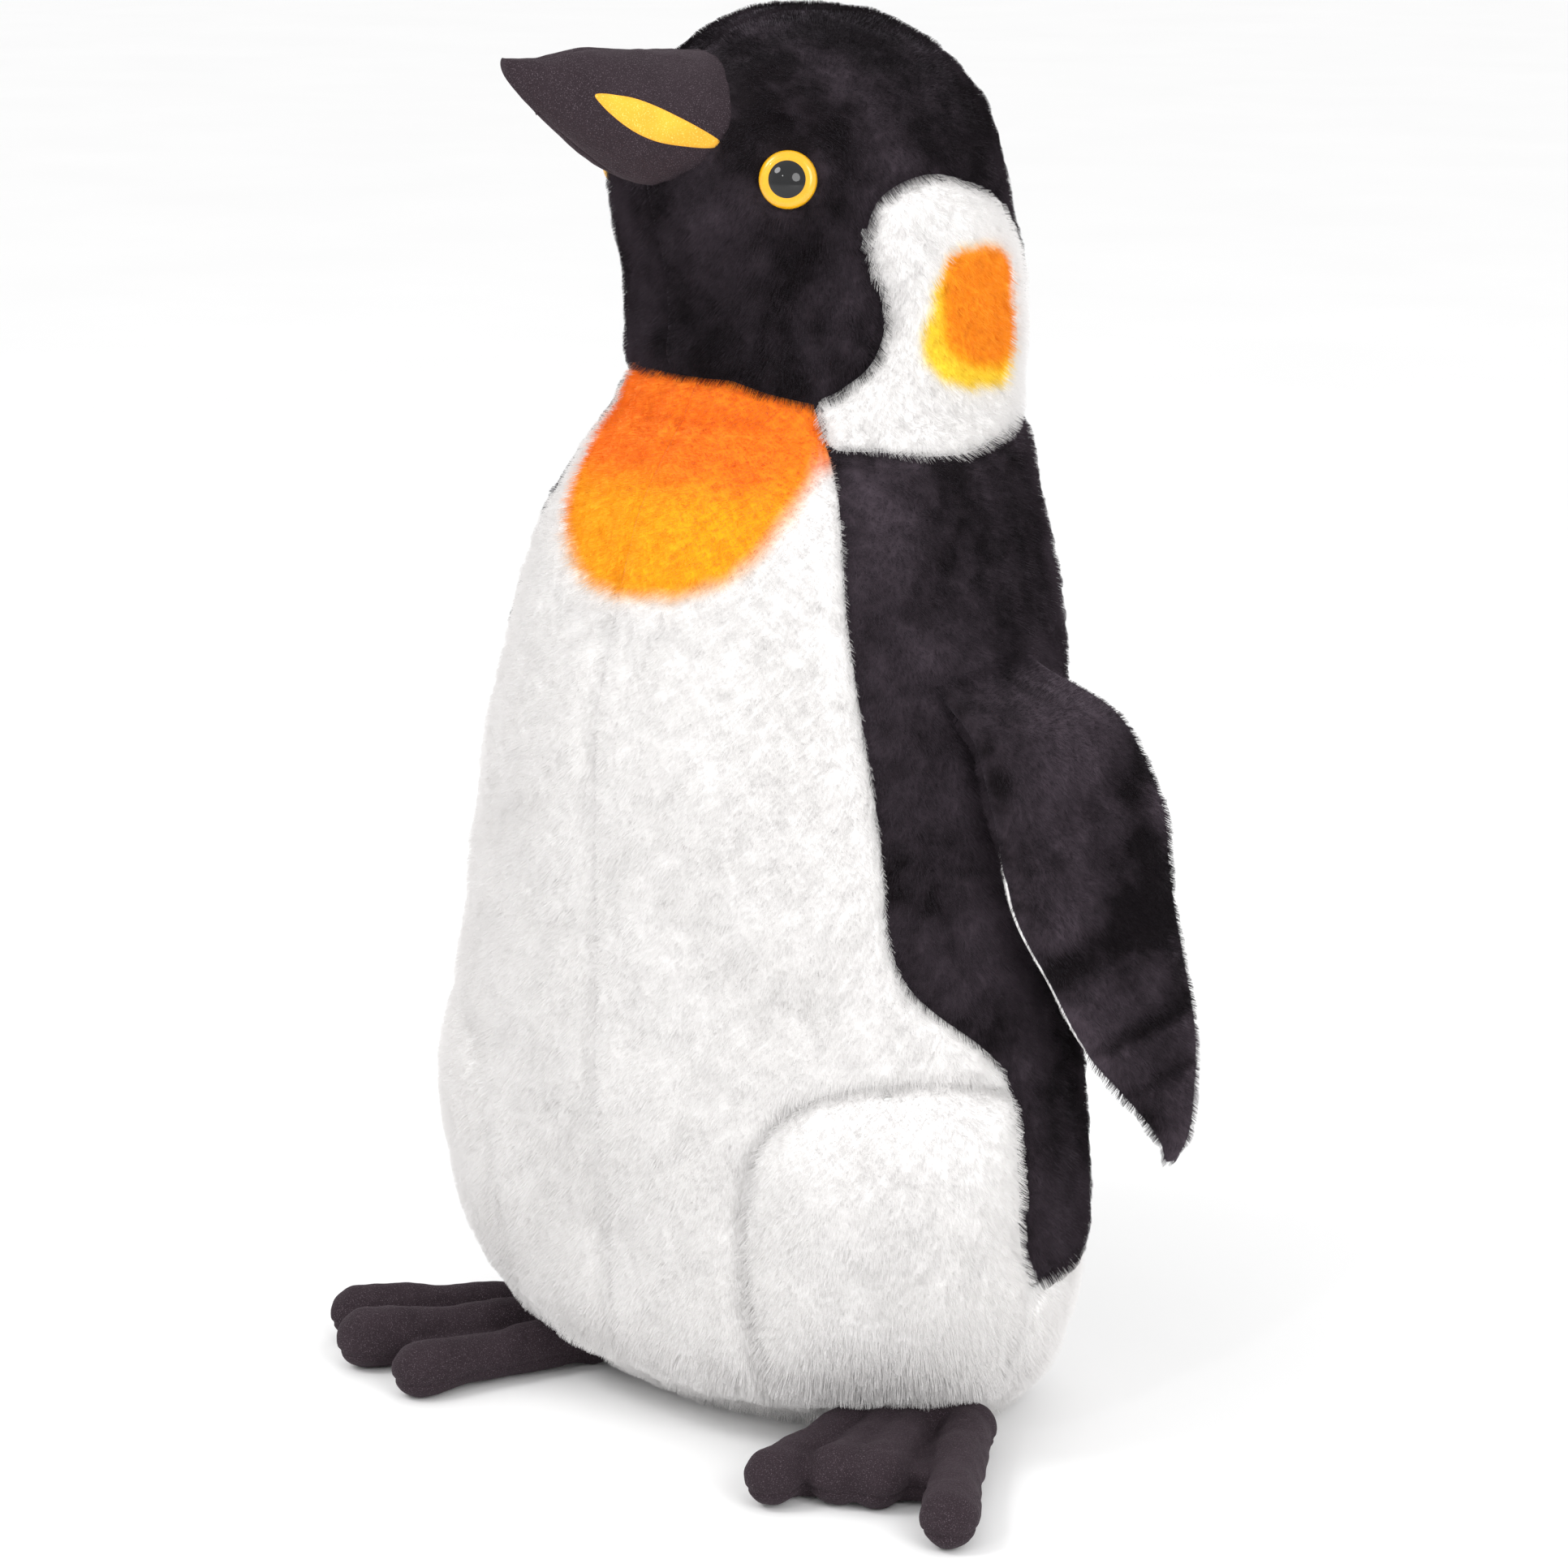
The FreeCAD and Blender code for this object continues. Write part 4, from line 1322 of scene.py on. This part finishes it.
def foot_form(name, side):
    """The stuffed foot as one closed skin, in place."""
    work = bmesh.new()
    web(work, name)
    roll = [Vector((x, 0, TOE_Z)) for x in (-ANKLE_HALF, ANKLE_HALF)]
    capsule(work, roll[0], roll[1], ANKLE_ROLL, ANKLE_ROLL)
    for root_x, tip_x, reach, root_r, tip_r in TOES[name]:
        start, end = Vector((root_x, 0, TOE_Z)), Vector((tip_x, -reach, max(TOE_Z, tip_r)))
        knuckle = start.lerp(end, KNUCKLE)
        slim = (root_r + tip_r) / 2 - 0.0012
        capsule(work, start, knuckle, root_r, slim)
        capsule(work, knuckle, end, slim, tip_r)
    mesh = bpy.data.meshes.new("foot_form")
    work.to_mesh(mesh)
    work.free()
    piece = add_object("foot_form", mesh)
    voxel_skin(piece, 0.0014, 8)
    ankle = Vector(joints["foot_%s_flex" % name]["pos_m"])
    ahead = outward("foot_%s_flex" % name)
    yaw = math.atan2(ahead.x * side, -ahead.y)
    matrix = Matrix.Rotation(yaw, 4, "Z")
    if side < 0:
        matrix = Matrix.Scale(-1, 4, Vector((1, 0, 0))) @ matrix
    matrix = Matrix.Translation((ankle.x, ankle.y, 0)) @ matrix
    piece.data.transform(matrix)
    if side < 0:
        piece.data.flip_normals()
    points = mesh_points(piece)
    height = lumps(points, (0.0006, 0.022, 91), (0.00025, 0.007, 92))
    height -= 0.0010 * np.exp(-((points[:, 2] - SOLE_SEAM) / 0.0011) ** 2)
    points = points + mesh_normals(piece) * height[:, None]
    points[:, 2] = np.maximum(points[:, 2], 0.0002)
    set_points(piece, points)
    return piece


def make_foot(name, side):
    """The suede of one foot, cut at its seam into the upper and the sole."""
    form = foot_form(name, side)
    for part, clear_inner in (("upper", True), ("sole", False)):
        work = bmesh.new()
        work.from_mesh(form.data)
        bmesh.ops.bisect_plane(work, geom=work.verts[:] + work.edges[:] + work.faces[:],
                               plane_co=(0, 0, SOLE_SEAM), plane_no=(0, 0, 1),
                               clear_inner=clear_inner, clear_outer=not clear_inner)
        mesh = bpy.data.meshes.new("foot_%s_fabric_%s" % (part, name))
        work.to_mesh(mesh)
        work.free()
        shade_smooth(mesh)
        mesh.materials.append(suede)
        piece = add_object(mesh.name, mesh)
        thicken(piece, SUEDE)
        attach(piece, "foot_" + name)
        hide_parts("foot_%s_%s" % (part, name))
    bpy.data.objects.remove(form)


# ---------------------------------------------------------------- hard parts and fillings

def finish_node(node, material):
    """Keeps a CAD node and gives it its finish."""
    piece = frame["nodes"][node]
    piece.data.materials.clear()
    piece.data.materials.append(material)
    shade_smooth(piece.data)
    piece.data.set_sharp_from_angle(angle=math.radians(35))


def make_filling(node, body_name, material, voxel, inset=0.0016, shape=None):
    """Loose fibre in the shape of its CAD solid, lumpy and rounded, a little way in from it."""
    piece = add_object(node + "_fill", frame["nodes"][node].data.copy())
    voxel_skin(piece, voxel, 4)
    piece.data.materials.clear()
    piece.data.materials.append(material)
    points = mesh_points(piece)
    height = -inset - 0.0008 * waves(points, 0.018, 95)
    points = points + mesh_normals(piece) * height[:, None]
    if shape:
        points = shape(points)
    shade_smooth(piece.data)
    set_points(piece, points)
    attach(piece, body_name)
    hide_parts(node)


def narrow_brow(points):
    """Narrows the beak's filling at its upper root as its suede is narrowed."""
    local = moved(points, world_to_head)
    middle, half_height = [read_off(BEAK[::-1], local[:, 1], k) for k in (1, 2)]
    high = np.clip((local[:, 2] - middle) / half_height, 0, 1)
    local[:, 0] *= 1 - BROW * high * smoothstep(BROW_FROM, BEAK[0][0], local[:, 1])
    return moved(local, head_to_world)


def slim_neck(points):
    """Draws a filling in round the neck, where the fabric twists over it."""
    z = points[:, 2]
    near = smoothstep(0.375, 0.415, z) * (1 - smoothstep(0.470, 0.510, z))
    points = points.copy()
    points[:, :2] += (np.array([neck.x, neck.y]) - points[:, :2]) * (NECK_SLACK * near)[:, None]
    return points


def make_insides():
    make_filling("torso_stuffing", "torso", filling, 0.006, shape=slim_neck)
    make_filling("head_stuffing", "head", filling, 0.005, shape=slim_neck)
    make_filling("beak_stuffing", "head", filling, 0.003, 0.004, narrow_brow)
    make_filling("ballast_bag", "torso", pellet_cotton, 0.003)
    for name, side in SIDES.items():
        make_filling("thigh_stuffing_" + name, "torso", filling, 0.004, 0.006)
        into = flipper_matrix(name, side)
        make_filling("flipper_stuffing_" + name, "flipper_" + name, filling,
                     0.003, 0.0022, lambda points: pull_shoulder(points, into))
        make_filling("foot_stuffing_" + name, "foot_" + name, filling, 0.0025)
        finish_node("eye_cup_" + name, eye_yellow)
        finish_node("eye_pupil_" + name, eye_black)
        finish_node("eye_washer_" + name, washer_plastic)


# ---------------------------------------------------------------- camera, floor and light

FLOOR = 60.0              # half the floor's side, past the horizon of every view


def make_floor():
    look = Look("floor_paper", Roughness=0.85)
    tone = look.ramp(look.noise(3.0), [(0.3, grey(0.96)), (0.7, grey(0.98))])
    look.join(tone, look.shader.inputs["Base Color"])
    corners = [(-FLOOR, -FLOOR, 0), (FLOOR, -FLOOR, 0), (FLOOR, FLOOR, 0), (-FLOOR, FLOOR, 0)]
    floor = make_object("floor", corners, [(0, 1, 2, 3)], look.material, False)


def make_light(name, place, target, size, power):
    lamp = bpy.data.lights.new(name, "AREA")
    lamp.shape = "DISK"
    lamp.size = size
    lamp.energy = power
    holder = add_object(name, lamp)
    holder.location = place
    holder.rotation_euler = (Vector(target) - Vector(place)).to_track_quat("-Z", "Y").to_euler()


def make_stage():
    make_floor()
    world = bpy.data.worlds.new("studio")
    world.use_nodes = True
    world.node_tree.nodes["Background"].inputs["Color"].default_value = (1, 1, 1, 1)
    world.node_tree.nodes["Background"].inputs["Strength"].default_value = 1.0
    scene = bpy.context.scene
    scene.world = world
    scene.view_settings.view_transform = "Standard"
    middle = (0, 0, 0.32)
    make_light("key", (-0.6, -1.6, 1.9), middle, 0.9, 16)
    make_light("fill", (1.9, -0.6, 1.1), middle, 1.2, 18)
    make_light("catch", (0.5, -1.8, 1.3), (0, 0, 0.54), 0.07, 2.5)


CAMERA_ROUND = math.radians(44)      # round from the front towards the toy's left
CAMERA_AWAY = 2.0
CAMERA_HEIGHT = 0.7279
CAMERA_DIP = math.radians(12.878)
LENS = 107.97
SENSOR = 36.0
SHIFT = 0.0057


def make_camera():
    data = bpy.data.cameras.new("camera")
    data.lens = LENS
    data.sensor_width = SENSOR
    data.shift_x = SHIFT
    camera = add_object("camera", data)
    camera.location = (math.sin(CAMERA_ROUND) * CAMERA_AWAY, -math.cos(CAMERA_ROUND) * CAMERA_AWAY,
                       CAMERA_HEIGHT)
    camera.rotation_euler = (math.pi / 2 - CAMERA_DIP, 0, CAMERA_ROUND)
    bpy.context.scene.camera = camera


make_camera()
make_stage()
make_trunk()
make_beak()
make_flippers()
for foot_name, foot_side in SIDES.items():
    make_foot(foot_name, foot_side)
make_insides()
